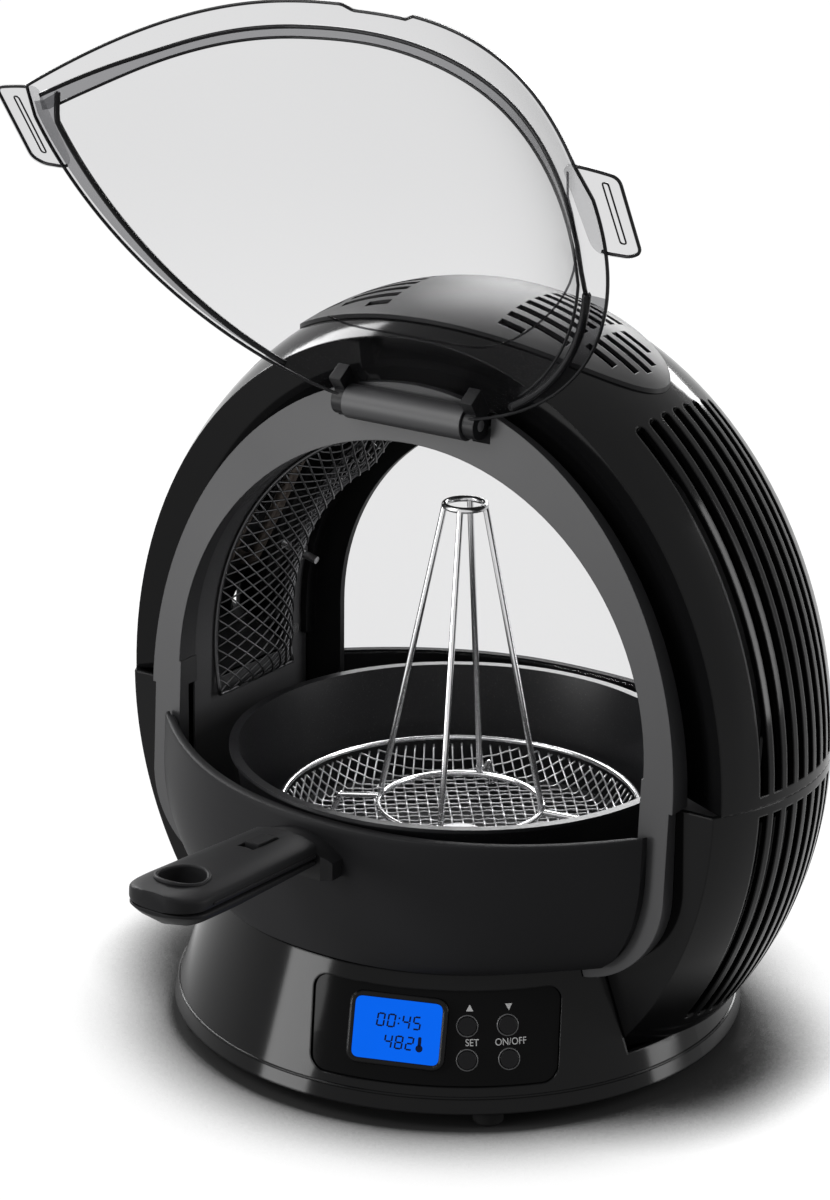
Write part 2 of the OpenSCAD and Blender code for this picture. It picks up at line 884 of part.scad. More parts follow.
// ---------- controls ----------
// Puts a piece on the sloping face of the base: x along the face, y up it, z outward
module on_base(angle, z, depth = 0) {
    rotate([0, 0, angle])
        translate([0, -base_r(z), z])
            rotate([90 - base_slope, 0, 0])
                translate([0, 0, -depth])
                    children();
}

// A band of the base's wall between two angles and two heights
module base_band(from_a, to_a, z0, z1, depth0, depth1) {
    rotate_extrude(start = -90 + from_a, angle = to_a - from_a, $fn = fine)
        polygon([[base_r(z0) - depth0, z0], [base_r(z1) - depth0, z1], [base_r(z1) - depth1, z1],
            [base_r(z0) - depth1, z0]]);
}

panel_corner = 8;
panel_mid_a = (panel_from + panel_to) / 2;
panel_mid_r = base_r((panel_low_z + panel_high_z) / 2);
panel_half_w = panel_mid_r * sin((panel_to - panel_from) / 2);
// Rounded window of the panel, grown by a margin, between two depths
module panel_window(margin, depth0 = -4, depth1 = 9) {
    spread = 12;
    half_w = panel_half_w + margin;
    half_h = (panel_high_z - panel_low_z) / 2 + margin;
    intersection() {
        base_band(panel_from - spread, panel_to + spread, base_foot_z + 1, deck_z - 1, depth0, depth1);
        rotate([0, 0, panel_mid_a])
            translate([0, -panel_mid_r / 2, (panel_high_z + panel_low_z) / 2])
                rotate([90, 0, 0])
                    linear_extrude(panel_mid_r)
                        rounded_plate(half_w, half_h, panel_corner);
    }
}

module rounded_plate(half_w, half_h, corner) {
    square([2 * half_w, 2 * (half_h - corner)], center = true);
    square([2 * (half_w - corner), 2 * half_h], center = true);
    for (x = [-1, 1], y = [-1, 1])
        translate([x * (half_w - corner), y * (half_h - corner)])
            circle(r = corner, $fn = coarse);
}

display_a = 20.5;
display_z = 48;
button_places = [["up", 35.5, 52], ["down", 44, 52], ["set", 35.5, 35.5], ["power", 44, 35.5]];
panel_sunk = 1.2;
panel_t = 2.4;
module control_panel() {
    color("#1b1b1d")
        difference() {
            union() {
                panel_window(-seat, panel_sunk, panel_sunk + panel_t);
                panel_window(3.5, base_t + snug, base_t + 1.8);
                // posts that carry the circuit board
                for (x = [-17, 17], y = [-15, 15])
                    on_base(board_a, board_z, board_depth - board_t)
                        translate([x, y, 0])
                            cylinder(h = board_depth - board_t - 4, r = 2, $fn = coarse);
            }
            on_base(display_a, display_z, 12)
                translate([-display_w / 2 - snug, -display_h / 2 - snug, 0])
                    cube([display_w + 2 * snug, display_h + 2 * snug, 24]);
            for (place = button_places)
                on_base(place[1], place[2], 12)
                    cylinder(h = 24, r = button_r + seat, $fn = coarse);
        }
}

display_back = 5;
module display_lens() {
    color("#2f7bff")
        on_base(display_a, display_z, display_back)
            translate([-display_w / 2, -display_h / 2, 0])
                cube([display_w, display_h, display_back - panel_sunk - 1]);
}

module display_module() {
    depth = 5;
    color("#3a3d40")
        on_base(display_a, display_z, display_back + depth)
            translate([-display_w / 2, -display_h / 2, 0])
                cube([display_w, display_h, depth]);
}

// Circuit board behind the buttons, with a switch under each
board_a = 39.75;
board_z = 44;
board_t = 1.6;
board_depth = 13;
cap_h = 7.5;
module control_board() {
    color("#1d5a36")
        union() {
            on_base(board_a, board_z, board_depth)
                translate([-20, -18, 0])
                    cube([40, 36, board_t]);
            for (place = button_places)
                on_base(board_a, board_z, board_depth)
                    translate([(place[1] - board_a) * 2.5, (place[2] - board_z) * 1.05, board_t - 0.1])
                        cylinder(h = board_depth - board_t - cap_h - button_travel - 0.6, r = 2.4,
                            $fn = coarse);
        }
}

module button(place) {
    color("#2b2b2d")
        on_base(place[1], place[2], cap_h)
            union() {
                cylinder(h = cap_h - 0.2, r = button_r, $fn = coarse);
                cylinder(h = 2, r = button_r + 1.4, $fn = coarse);
            }
}

module button_up() { button(button_places[0]); }
module button_down() { button(button_places[1]); }
module button_set() { button(button_places[2]); }
module button_power() { button(button_places[3]); }

// ---------- oven ----------
liner_t = 1.2;
liner_front_y = bezel_back_y + snug;
liner_rear_y = rear_lip_y - shell_t - 0.4;
liner_low_z = deck_z + 0.05;
// Opening of the liner behind the heater guard, as angles up the left side
heater_from = -8;
heater_to = 62;
heater_front_y = -24;
heater_rear_y = 40;
module liner_profile(r) {
    intersection() {
        union() {
            translate([0, mouth_z])
                circle(r = r, $fn = fine);
            translate([-r, liner_low_z])
                square([2 * r, mouth_z - liner_low_z]);
        }
        translate([-reach, liner_low_z])
            square([2 * reach, reach]);
    }
}

module oven_liner() {
    color("#3c3d3f")
        difference() {
            upright(liner_front_y, liner_rear_y)
                liner_profile(liner_r + liner_t);
            difference() {
                upright(liner_front_y - 1, liner_rear_y + 1)
                    liner_profile(liner_r);
                // floor round the drive well
                slab(0, liner_low_z + liner_t);
            }
            cylinder(h = reach / 2, r = well_r - 2, $fn = fine);
            heater_opening();
            probe_place(0)
                cylinder(h = 20, r = probe_r + 0.6, center = true, $fn = coarse);
        }
}

// Window in the liner's left side
module heater_opening() {
    translate([0, 0, mouth_z])
        rotate([90, 0, 0])
            translate([0, 0, -heater_rear_y])
                linear_extrude(heater_rear_y - heater_front_y)
                    polygon([for (a = [heater_from, (heater_from + heater_to) / 2, heater_to], k = [0])
                            [-(liner_r - 12) * cos(a), (liner_r - 12) * sin(a)],
                        [-(liner_r + 20) * cos(heater_to), (liner_r + 20) * sin(heater_to)],
                        [-(liner_r + 20) * cos((heater_from + heater_to) / 2),
                            (liner_r + 20) * sin((heater_from + heater_to) / 2)],
                        [-(liner_r + 20) * cos(heater_from), (liner_r + 20) * sin(heater_from)]]);
}

// Diamond mesh guard over the heater opening, with a flat hem on the liner
guard_over_a = 3;
guard_pitch = 14;
guard_side = 8.6;
guard_sheet = 1.2;
guard_hem = 4;
guard_half = (heater_rear_y - heater_front_y) / 2 + 1;
guard_mid_y = (heater_rear_y + heater_front_y) / 2;
guard_bow_r = (pow(guard_half, 2) + pow(guard_bulge, 2)) / (2 * guard_bulge);
guard_out_r = liner_r - 0.05;

// Section of the guard about the front-to-back axis: the bow, filled or as a sheet
module guard_section(filled) {
    intersection() {
        difference() {
            translate([guard_out_r - guard_sheet - guard_bulge + guard_bow_r, 0])
                circle(r = guard_bow_r, $fn = fine);
            if (!filled)
                translate([guard_out_r - guard_sheet - guard_bulge + guard_bow_r, 0])
                    circle(r = guard_bow_r - guard_sheet, $fn = fine);
        }
        translate([0, -reach])
            square([guard_out_r, 2 * reach]);
    }
}

module guard_turn(from_a, span) {
    translate([0, guard_mid_y, mouth_z])
        rotate([-90, 0, 0])
            rotate_extrude(start = 180 + from_a, angle = span, $fn = fine)
                children();
}

module heater_guard() {
    from_a = heater_from - guard_over_a;
    span = heater_to - heater_from + 2 * guard_over_a;
    pitch_a = guard_pitch / (liner_r - guard_bulge / 2) * 180 / PI;
    cols = floor(span / pitch_a / 2 - 0.6);
    color("#8d9093")
        difference() {
            union() {
                guard_turn(from_a, span)
                    guard_section(false);
                for (end = [from_a, from_a + span - 0.5])
                    guard_turn(end, 0.5)
                        guard_section(true);
                for (side = [-1, 1])
                    guard_turn(from_a, span)
                        translate([guard_out_r - guard_sheet, side * (guard_half + 1) - guard_hem / 2])
                            square([guard_sheet, guard_hem]);
            }
            for (row = [-1 : 1], col = [-cols : cols])
                guard_opening(row * guard_pitch, col * pitch_a);
            for (row = [-1.5 : 1.5], col = [-cols - 0.5 : cols + 0.5])
                guard_opening(row * guard_pitch, col * pitch_a);
        }
}

module guard_opening(y, a) {
    depth = guard_bulge * 2;
    translate([0, guard_mid_y + y, mouth_z])
        rotate([0, (heater_from + heater_to) / 2 + a, 0])
            translate([-liner_r - 2, 0, 0])
                rotate([45, 0, 0])
                    translate([0, -guard_side / 2, -guard_side / 2])
                        cube([depth, guard_side, guard_side]);
}

// Polished plate behind the element, with the mouth of the fan
heater_a = (heater_from + heater_to) / 2;
heater_y = (heater_front_y + heater_rear_y) / 2;
// Depth of the fan motor behind the liner
motor_depth = body_half_w - shell_t - liner_r - 10.2;
reflector_depth = motor_depth - 21;
reflector_half = 84;
module in_heater(depth) {
    translate([0, heater_y, mouth_z])
        rotate([0, heater_a, 0])
            translate([-liner_r - depth, 0, 0])
                children();
}

module heater_reflector() {
    half_y = (heater_rear_y - heater_front_y) / 2;
    sheet = 1;
    flange = liner_r + reflector_depth
        - sqrt(pow(liner_r + liner_t + 0.2, 2) - pow(reflector_half, 2));
    color("#a9acaf")
        in_heater(reflector_depth)
            difference() {
                union() {
                    translate([0, -half_y, -reflector_half])
                        cube([sheet, 2 * half_y, 2 * reflector_half]);
                    for (z = [-reflector_half - sheet, reflector_half])
                        translate([0, -half_y, z])
                            cube([flange, 2 * half_y, sheet]);
                }
                rotate([0, 90, 0])
                    cylinder(h = 20, r = fan_r * 0.7, center = true, $fn = coarse);
                for (side = [-1, 1])
                    translate([0, side * element_half_w, -element_half - element_bend])
                        rotate([0, 90, 0])
                            cylinder(h = 20, r = element_r + snug, center = true, $fn = coarse);
            }
}

// Tube element: a long loop whose ends turn back through the reflector
element_half = 36;
element_half_w = 15;
element_bend = 8;
module heating_element() {
    depth = reflector_depth - 10;
    leg = reflector_depth - depth - element_bend + 8;
    color("#6f6a66")
        in_heater(depth)
            union() {
                for (side = [-1, 1])
                    translate([0, side * element_half_w, 0]) {
                        translate([0, 0, -element_half])
                            cylinder(h = 2 * element_half, r = element_r, $fn = coarse);
                        translate([-element_bend, 0, -element_half])
                            rotate([90, 0, 0])
                                rotate_extrude(start = 270, angle = 90, $fn = coarse)
                                    translate([element_bend, 0])
                                        circle(r = element_r, $fn = coarse);
                        translate([-element_bend - leg, 0, -element_half - element_bend])
                            rotate([0, 90, 0])
                                cylinder(h = leg, r = element_r, $fn = coarse);
                    }
                translate([0, 0, element_half])
                    rotate([90, 0, 90])
                        rotate_extrude(angle = 180, $fn = fine)
                            translate([element_half_w, 0])
                                circle(r = element_r, $fn = coarse);
            }
}

module guard_screws() {
    color("#c9cbcd")
        for (a = [heater_from + 4, heater_to - 4])
            translate([0, heater_rear_y + 7.4, mouth_z])
                rotate([0, a, 0])
                    translate([-liner_r + 0.05, 0, 0])
                        rotate([0, 90, 0])
                            cylinder(h = 2.2, r = 3, $fn = coarse);
}

probe_r = 2.2;
probe_a = 14;
module probe_place(depth) {
    translate([0, heater_rear_y + 9, mouth_z])
        rotate([0, probe_a, 0])
            translate([-liner_r - depth, 0, 0])
                rotate([0, 90, 0])
                    children();
}

module temperature_probe() {
    color("#c4c6c8")
        probe_place(12)
            union() {
                cylinder(h = 24, r = probe_r, $fn = coarse);
                translate([0, 0, 12.1])
                    cylinder(h = 1.4, r = probe_r + 3, $fn = coarse);
            }
}

// Motor on a plate with four posts on the back of the reflector
module fan_motor() {
    post_y = 20;
    post_z = 32;
    color("#4a4c4f")
        in_heater(motor_depth)
            union() {
                translate([-4, 0, 0])
                    rotate([0, 90, 0])
                        cylinder(h = 12, r = 16, $fn = fine);
                rotate([0, 90, 0])
                    cylinder(h = 17, r = 2, $fn = coarse);
                translate([-1, -post_y - 3, -post_z - 3])
                    cube([2, 2 * post_y + 6, 2 * post_z + 6]);
                for (y = [-post_y, post_y], z = [-post_z, post_z])
                    translate([0, y, z])
                        rotate([0, 90, 0])
                            cylinder(h = motor_depth - reflector_depth - 0.05, r = 2.5, $fn = coarse);
            }
}

fan_blades = 9;
module fan_rotor() {
    color("#85888b")
        in_heater(motor_depth - 9)
            rotate([0, 90, 0])
                difference() {
                    union() {
                        cylinder(h = 1.2, r = fan_r, $fn = fine);
                        cylinder(h = 8, r = 6, $fn = coarse);
                        for (i = [0 : fan_blades - 1])
                            rotate([0, 0, i * 360 / fan_blades])
                                translate([10, -0.6, 0])
                                    rotate([0, 0, 18])
                                        cube([fan_r - 12, 1.2, 9]);
                    }
                    translate([0, 0, -5])
                        cylinder(h = 30, r = 2 + running, $fn = coarse);
                }
}

// ---------- drive ----------
gear_z = 50;
gear_h = 8;
bearing_r = 9;
gear_r = gear_teeth * gear_module / 2;
pinion_r = pinion_teeth * gear_module / 2;
// Spur gear with straight-flanked teeth
module gear_outline(teeth, phase) {
    pitch_r = teeth * gear_module / 2;
    root_r = pitch_r - gear_module * 1.2;
    tip_r = pitch_r + gear_module * 0.85;
    root_w = gear_module * 0.85;
    tip_w = gear_module * 0.32;
    circle(r = root_r, $fn = fine);
    for (i = [0 : teeth - 1])
        rotate((i + phase) * 360 / teeth)
            polygon([[root_r - 1, -root_w], [root_r, -root_w], [tip_r, -tip_w], [tip_r, tip_w],
                [root_r, root_w], [root_r - 1, root_w]]);
}

module drive_gear() {
    web_r = gear_r * 0.62;
    color("#d9d4c6")
        translate([0, 0, gear_z])
            difference() {
                union() {
                    linear_extrude(gear_h)
                        gear_outline(gear_teeth, 0);
                    translate([0, 0, -4])
                        cylinder(h = gear_h + 6, r = drive_shaft_r + 6, $fn = fine);
                }
                translate([0, 0, -10])
                    cylinder(h = 40, r = drive_shaft_r + running, $fn = fine);
                for (i = [0 : 5])
                    rotate([0, 0, 30 + i * 60])
                        translate([web_r, 0, -1])
                            cylinder(h = 40, r = 8, $fn = coarse);
            }
}

module drive_pinion() {
    color("#cfcac0")
        translate([gear_r + pinion_r, 0, gear_z])
            difference() {
                linear_extrude(gear_h)
                    gear_outline(pinion_teeth, pinion_teeth % 2 == 0 ? 0.5 : 0);
                translate([0, 0, -1])
                    cylinder(h = 30, r = motor_shaft_r + running, $fn = coarse);
            }
}

motor_shaft_r = 3;
module drive_motor() {
    motor_r = 26;
    motor_low = base_foot_z + base_t + 0.2;
    color("#55585b")
        translate([gear_r + pinion_r, 0, 0])
            union() {
                translate([0, 0, motor_low])
                    cylinder(h = gear_z - motor_low - 4, r = motor_r, $fn = fine);
                translate([0, 0, gear_z - 5])
                    cylinder(h = gear_h + 7, r = motor_shaft_r, $fn = fine);
            }
}

// Shaft whose blade turns the tray; the blade lies front to back when parked, so the
// pan can slide off it
blade_w = 6;
blade_len = 20;
blade_low = deck_z + 1.4;
blade_high = deck_z + 5.3;
module drive_shaft() {
    color("#b5b8bb")
        union() {
            translate([0, 0, gear_z - 12])
                cylinder(h = blade_low - gear_z + 12, r = drive_shaft_r, $fn = fine);
            translate([-blade_w / 2, -blade_len / 2, blade_low])
                cube([blade_w, blade_len, blade_high - blade_low]);
        }
}

module shaft_bearing() {
    color("#a98b4d")
        difference() {
            union() {
                translate([0, 0, gear_z + gear_h + 3])
                    cylinder(h = deck_z - gear_z - gear_h - 3, r = bearing_r, $fn = fine);
                translate([0, 0, deck_z - base_t - 2])
                    cylinder(h = 2 - 0.05, r = bearing_r + 5, $fn = fine);
            }
            cylinder(h = deck_z * 2, r = drive_shaft_r + running, $fn = fine);
        }
}

// ---------- pan ----------
pan_floor_z = deck_z + pan_lift;
bush_r = 9;
hub_shaft_r = 6;
module pan_bowl() {
    flange = 5;
    color("#161616")
        difference() {
            rotate_extrude($fn = fine)
                polygon([[0, pan_floor_z], [pan_floor_r, pan_floor_z],
                    [pan_floor_r + pan_t, pan_floor_z + 3],
                    [pan_rim_r + pan_t, pan_rim_z - pan_t], [pan_rim_r + flange, pan_rim_z - pan_t],
                    [pan_rim_r + flange, pan_rim_z], [pan_rim_r, pan_rim_z],
                    [pan_floor_r, pan_floor_z + 5], [pan_floor_r - 3, pan_floor_z + pan_t],
                    [0, pan_floor_z + pan_t]]);
            translate([0, 0, pan_floor_z - 1])
                cylinder(h = 10, r = bush_r + running, $fn = fine);
        }
}

pan_foot_r = 6;
pan_foot_ring = 90;
module pan_feet() {
    color("#2a2a2a")
        for (a = [45, 135, 225, 315])
            rotate([0, 0, a])
                translate([pan_foot_ring, 0, deck_z + seat])
                    cylinder(h = pan_floor_z - deck_z - seat, r = pan_foot_r, $fn = coarse);
}

module pan_bush() {
    color("#c8c2b4")
        translate([0, 0, pan_floor_z - 1.1])
            difference() {
                union() {
                    cylinder(h = pan_t + 1.1, r = bush_r, $fn = fine);
                    translate([0, 0, pan_t + 1.1])
                        cylinder(h = 2, r = bush_r + 5, $fn = fine);
                }
                translate([0, 0, -1])
                    cylinder(h = 20, r = hub_shaft_r + running, $fn = fine);
            }
}

// Steel channel from the pan to its front wall
bracket_low_z = 112;
bracket_high_z = 136;
function wall_back_y(z) = face_y(z) - wall_gap - wall_bow;
function pan_out_r(z) =
    pan_floor_r + pan_t + (z - pan_floor_z - 3) * (pan_rim_r - pan_floor_r) / (pan_rim_z - pan_floor_z - 5);
module pan_bracket() {
    half = 14;
    sheet = 1.5;
    front_y = wall_back_y(bracket_high_z) + 0.35;
    depth = -front_y - pan_out_r(bracket_high_z) - snug;
    height = bracket_high_z - bracket_low_z;
    color("#8b8e91")
        translate([-half, front_y, bracket_low_z]) {
            cube([2 * half, sheet, height]);
            cube([sheet, depth, height]);
            translate([2 * half - sheet, 0, 0])
                cube([sheet, depth, height]);
        }
}

// ---------- handle ----------
handle_low_z = handle_top_z - handle_t;
split_z = handle_low_z + handle_t * 0.5;
// The collar is let into the wall
socket_y = face_y(130) - wall_gap - wall_bow - wall_t + 3;
socket_front_y = socket_y - 15;
socket_half = 27;
// Tilts a piece of the handle up, and ends it at the collar
module tilted() {
    difference() {
        translate([0, socket_front_y, split_z])
            rotate([-handle_tilt, 0, 0])
                translate([0, -socket_front_y, -split_z])
                    children();
        translate([-reach, socket_front_y - snug, 0])
            cube([2 * reach, 60, reach]);
    }
}

root_y = socket_front_y + 3;
module handle_plan() {
    corner_r = tip_half * 0.7;
    corner_x = tip_half - corner_r;
    root_half = tip_half - 2.5;
    shoulder_y = handle_tip_y + corner_r;
    both_sides()
        translate([corner_x, shoulder_y, 0])
            cylinder(h = handle_t + 2, r = corner_r, $fn = fine);
    linear_extrude(handle_t + 2)
        polygon([[-tip_half, shoulder_y], [-root_half, root_y], [root_half, root_y],
            [tip_half, shoulder_y], [corner_x, handle_tip_y + 0.2],
            [-corner_x, handle_tip_y + 0.2]]);
}

// Side view of the handle: the underside sweeps up to the tip
module handle_side() {
    sweep = 70;
    intersection() {
        polygon([[handle_tip_y - 1, handle_low_z + 7], [handle_tip_y + 40, handle_low_z],
            [root_y, handle_low_z + 3], [root_y, handle_top_z],
            [handle_tip_y + 30, handle_top_z], [handle_tip_y - 1, handle_top_z - 3]]);
        translate([handle_tip_y + sweep, handle_low_z + sweep])
            circle(r = sweep * 1.42, $fn = fine);
    }
}

// The handle is crowned above, and more so below
module handle_form() {
    top_r = 65;
    low_r = 34;
    intersection() {
        translate([handle_x, 0, handle_low_z - 1])
            handle_plan();
        translate([handle_x - 40, 0, 0])
            rotate([90, 0, 90])
                linear_extrude(80)
                    handle_side();
        translate([handle_x, root_y, handle_top_z - top_r])
            rotate([90, 0, 0])
                cylinder(h = reach, r = top_r, $fn = fine);
        translate([handle_x, root_y, handle_low_z + low_r])
            rotate([90, 0, 0])
                cylinder(h = reach, r = low_r, $fn = fine);
    }
}

module hang_hole() {
    translate([handle_x, handle_tip_y + tip_half + 1.5, 0])
        cylinder(h = reach, r = hang_hole_r, $fn = fine);
}

latch_y = socket_front_y - 22;
latch_w = 9;
latch_len = 15;
latch_travel = 5;
module latch_slot(grow) {
    translate([handle_x - latch_w / 2 - grow, latch_y - latch_len / 2 - grow - latch_travel, 0])
        cube([latch_w + 2 * grow, latch_len + 2 * grow + latch_travel, reach]);
}

module handle_upper() {
    color("#242426")
        tilted()
            difference() {
                handle_form();
                slab(split_z - reach, split_z);
                hang_hole();
                intersection() {
                    latch_slot(seat);
                    slab(split_z + 1, reach);
                }
            }
}

module handle_lower() {
    color("#1e1e20")
        tilted()
            difference() {
                handle_form();
                slab(split_z - 0.2, reach);
                hang_hole();
                for (y = screw_y)
                    translate([handle_x, y, handle_low_z - 5])
                        cylinder(h = 10, r = 3.4, $fn = coarse);
            }
}

screw_y = [socket_front_y - 12, socket_front_y - 48];
module handle_screws() {
    color("#b7babd")
        tilted()
            for (y = screw_y)
                translate([handle_x, y, handle_low_z + 3.2])
                    cylinder(h = 1.7, r = 3, $fn = coarse);
}

module handle_latch() {
    color("#2c2c2e")
        tilted()
            translate([handle_x - latch_w / 2, latch_y - latch_len / 2, split_z + 1.3])
                cube([latch_w, latch_len, handle_top_z - split_z - 0.5]);
}

// Arched collar of the handle, just under the closed lid
module handle_socket() {
    arch_r = 40;
    flute_r = 10;
    top_z = lid_low_z - 0.8;
    low_z = handle_low_z + 1;
    color("#202022")
        difference() {
            translate([handle_x, socket_y, 0])
                rotate([90, 0, 0])
                    linear_extrude(socket_y - socket_front_y)
                        intersection() {
                            translate([-socket_half, low_z])
                                square([2 * socket_half, top_z - low_z + 1]);
                            translate([0, top_z - arch_r])
                                circle(r = arch_r, $fn = fine);
                        }
            for (side = [-1, 1])
                translate([handle_x + side * (socket_half + 3), socket_front_y - 6, 0])
                    cylinder(h = reach, r = flute_r, $fn = fine);
        }
}

// ---------- tray and rack ----------
hub_low = deck_z + 1.8;
slot_play = 0.3;
module tray_hub() {
    disc_r = 13;
    slot_top = blade_high + 0.4;
    disc_top = pan_floor_z - 1.4;
    color("#9c9fa2")
        difference() {
            union() {
                translate([0, 0, hub_low])
                    cylinder(h = disc_top - hub_low, r = disc_r, $fn = fine);
                translate([0, 0, hub_low])
                    cylinder(h = tray_floor_z - hub_low, r = hub_shaft_r, $fn = fine);
                translate([0, 0, tray_floor_z - 4])
                    cylinder(h = 4 - 0.02, r = 16, $fn = fine);
            }
            translate([-blade_w / 2 - slot_play, -20, hub_low - 1])
                cube([blade_w + 2 * slot_play, 40, slot_top - hub_low + 1]);
        }
}

// Woven tray: a square mesh floor, and a flared side with diamond openings and a rim wire
floor_mesh_t = 1.4;
mesh_bar = 1.6;
module tray_floor() {
    lines = floor(tray_floor_r / mesh_pitch);
    color("#b4b7ba")
        translate([0, 0, tray_floor_z])
            linear_extrude(floor_mesh_t)
                union() {
                    difference() {
                        circle(r = tray_floor_r + 1, $fn = fine);
                        circle(r = tray_floor_r - 1.4, $fn = fine);
                    }
                    circle(r = 17, $fn = fine);
                    intersection() {
                        circle(r = tray_floor_r, $fn = fine);
                        rotate(45)
                            for (i = [-lines : lines]) {
                                translate([i * mesh_pitch - mesh_bar / 2, -tray_floor_r])
                                    square([mesh_bar, 2 * tray_floor_r]);
                                translate([-tray_floor_r, i * mesh_pitch - mesh_bar / 2])
                                    square([2 * tray_floor_r, mesh_bar]);
                            }
                    }
                }
}

side_openings = 36;
module tray_side() {
    sheet = 1.2;
    opening = 9.2;
    low = floor_mesh_t + 0.02;
    color("#b4b7ba")
        union() {
            difference() {
                translate([0, 0, tray_floor_z])
                    rotate_extrude($fn = fine)
                        polygon([[tray_floor_r - sheet, low], [tray_floor_r + sheet / 2, low],
                            [tray_rim_r + sheet / 2, tray_side_h], [tray_rim_r - sheet / 2, tray_side_h]]);
                for (i = [0 : side_openings - 1])
                    rotate([0, 0, i * 360 / side_openings])
                        translate([tray_floor_r, 0, tray_floor_z + (low + tray_side_h) / 2])
                            rotate([45, 0, 0])
                                translate([-12, -opening / 2, -opening / 2])
                                    cube([30, opening, opening]);
            }
            translate([0, 0, tray_floor_z + tray_side_h])
                rotate_extrude($fn = fine)
                    translate([tray_rim_r, 0])
                        circle(r = rim_wire_r, $fn = coarse);
        }
}

// Wire rack: a ring on four bent legs, which carries four uprights that lean to a top ring
rack_foot_r = 74;
rack_ring_z = tray_floor_z + 19;
rack_top_r = 11;
bead_r = rack_wire_r + 0.3;
leg_angles = [20, 110, 200, 290];
module rod(p, q, r) {
    d = q - p;
    length = norm(d);
    translate(p)
        rotate([0, acos(d[2] / length), atan2(d[1], d[0])])
            cylinder(h = length, r = r, $fn = coarse);
}

module wire_ring(ring_r, z) {
    translate([0, 0, z])
        rotate_extrude($fn = fine)
            translate([ring_r, 0])
                circle(r = rack_wire_r, $fn = coarse);
}

module rack_base() {
    foot_z = tray_floor_z + floor_mesh_t + bead_r + 0.02;
    color("#c3c6c9")
        union() {
            wire_ring(rack_ring_r, rack_ring_z);
            for (a = leg_angles)
                rotate([0, 0, a])
                    rack_leg(foot_z);
        }
}

module rack_leg(foot_z) {
    knee = [rack_foot_r - 6, 0, rack_ring_z - 2];
    foot = [rack_foot_r, 0, foot_z];
    toe = [rack_foot_r + 12, 0, foot_z];
    rod(toe, foot, rack_wire_r);
    rod(foot, knee, rack_wire_r);
    rod(knee, [rack_ring_r, 0, rack_ring_z], rack_wire_r);
    for (p = [knee, foot])
        translate(p)
            sphere(r = bead_r, $fn = coarse);
}

// The uprights stand on the ring, each on a flat foot
module rack_uprights() {
    low_z = rack_ring_z + rack_wire_r + 0.05;
    top_z = tray_floor_z + rack_h;
    color("#c3c6c9")
        union() {
            wire_ring(rack_top_r, top_z);
            for (a = leg_angles)
                rotate([0, 0, a]) {
                    rod([rack_ring_r, 0, low_z + rack_wire_r], [rack_top_r, 0, top_z], rack_wire_r);
                    translate([rack_ring_r, 0, low_z])
                        cylinder(h = 2 * rack_wire_r, r = bead_r, $fn = coarse);
                }
        }
}

upper_shell();
left_shell();
right_shell();
vent_cap();
cap_frame();
front_bezel();
rear_frame();
rear_window();
rear_wall();
base_housing();
base_plate();
feet();
control_panel();
display_lens();
display_module();
control_board();
button_up();
button_down();
button_set();
button_power();
oven_liner();
heater_guard();
heating_element();
heater_reflector();
guard_screws();
temperature_probe();
fan_motor();
fan_rotor();
drive_motor();
drive_pinion();
drive_gear();
drive_shaft();
shaft_bearing();
cord_inlet();
base_screws();
hinge_pin();
lid_panel();
lid_grips();
lid_lugs();
pan_bowl();
pan_feet();
pan_front();
pan_bracket();
pan_bush();
handle_socket();
handle_upper();
handle_lower();
handle_latch();
handle_screws();
tray_hub();
tray_floor();
tray_side();
rack_base();
rack_uprights();
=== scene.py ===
"""Dresses the rotisserie oven: finishes, the clear lid, the wire work, the handle and the studio."""
import json
import math
import bmesh
import bpy
from mathutils import Matrix, Vector


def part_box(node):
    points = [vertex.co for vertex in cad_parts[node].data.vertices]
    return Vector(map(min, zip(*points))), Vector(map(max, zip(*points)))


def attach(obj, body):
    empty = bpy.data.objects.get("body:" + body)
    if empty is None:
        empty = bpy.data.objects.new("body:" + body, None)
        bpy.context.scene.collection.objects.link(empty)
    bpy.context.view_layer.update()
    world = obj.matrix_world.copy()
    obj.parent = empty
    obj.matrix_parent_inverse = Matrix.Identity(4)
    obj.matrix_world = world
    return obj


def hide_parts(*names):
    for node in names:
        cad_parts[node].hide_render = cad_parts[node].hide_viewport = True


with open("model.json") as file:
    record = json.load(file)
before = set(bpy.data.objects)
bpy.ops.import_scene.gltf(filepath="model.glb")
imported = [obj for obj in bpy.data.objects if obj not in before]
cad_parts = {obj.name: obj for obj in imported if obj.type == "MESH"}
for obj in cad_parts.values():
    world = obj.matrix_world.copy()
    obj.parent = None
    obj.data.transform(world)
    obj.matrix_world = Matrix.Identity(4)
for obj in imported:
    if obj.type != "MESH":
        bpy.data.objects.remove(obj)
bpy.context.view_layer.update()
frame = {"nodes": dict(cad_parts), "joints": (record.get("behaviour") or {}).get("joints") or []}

MM = 0.001


# ---------- shader maths ----------
class Value:
    """A socket in a node tree; arithmetic on it adds Math nodes."""

    def __init__(self, graph, socket):
        self.graph = graph
        self.socket = socket

    def _maths(self, operation, *values):
        return self.graph.node("ShaderNodeMath", {"operation": operation}, dict(enumerate(values)))

    def __add__(self, other):
        return self._maths("ADD", self, other)

    def __sub__(self, other):
        return self._maths("SUBTRACT", self, other)

    def __mul__(self, other):
        return self._maths("MULTIPLY", self, other)

    def __pow__(self, other):
        return self._maths("POWER", self, other)

    __radd__ = __add__

    def minimum(self, other):
        return self._maths("MINIMUM", self, other)

    def maximum(self, other):
        return self._maths("MAXIMUM", self, other)

    def above(self, other):
        return self._maths("GREATER_THAN", self, other)


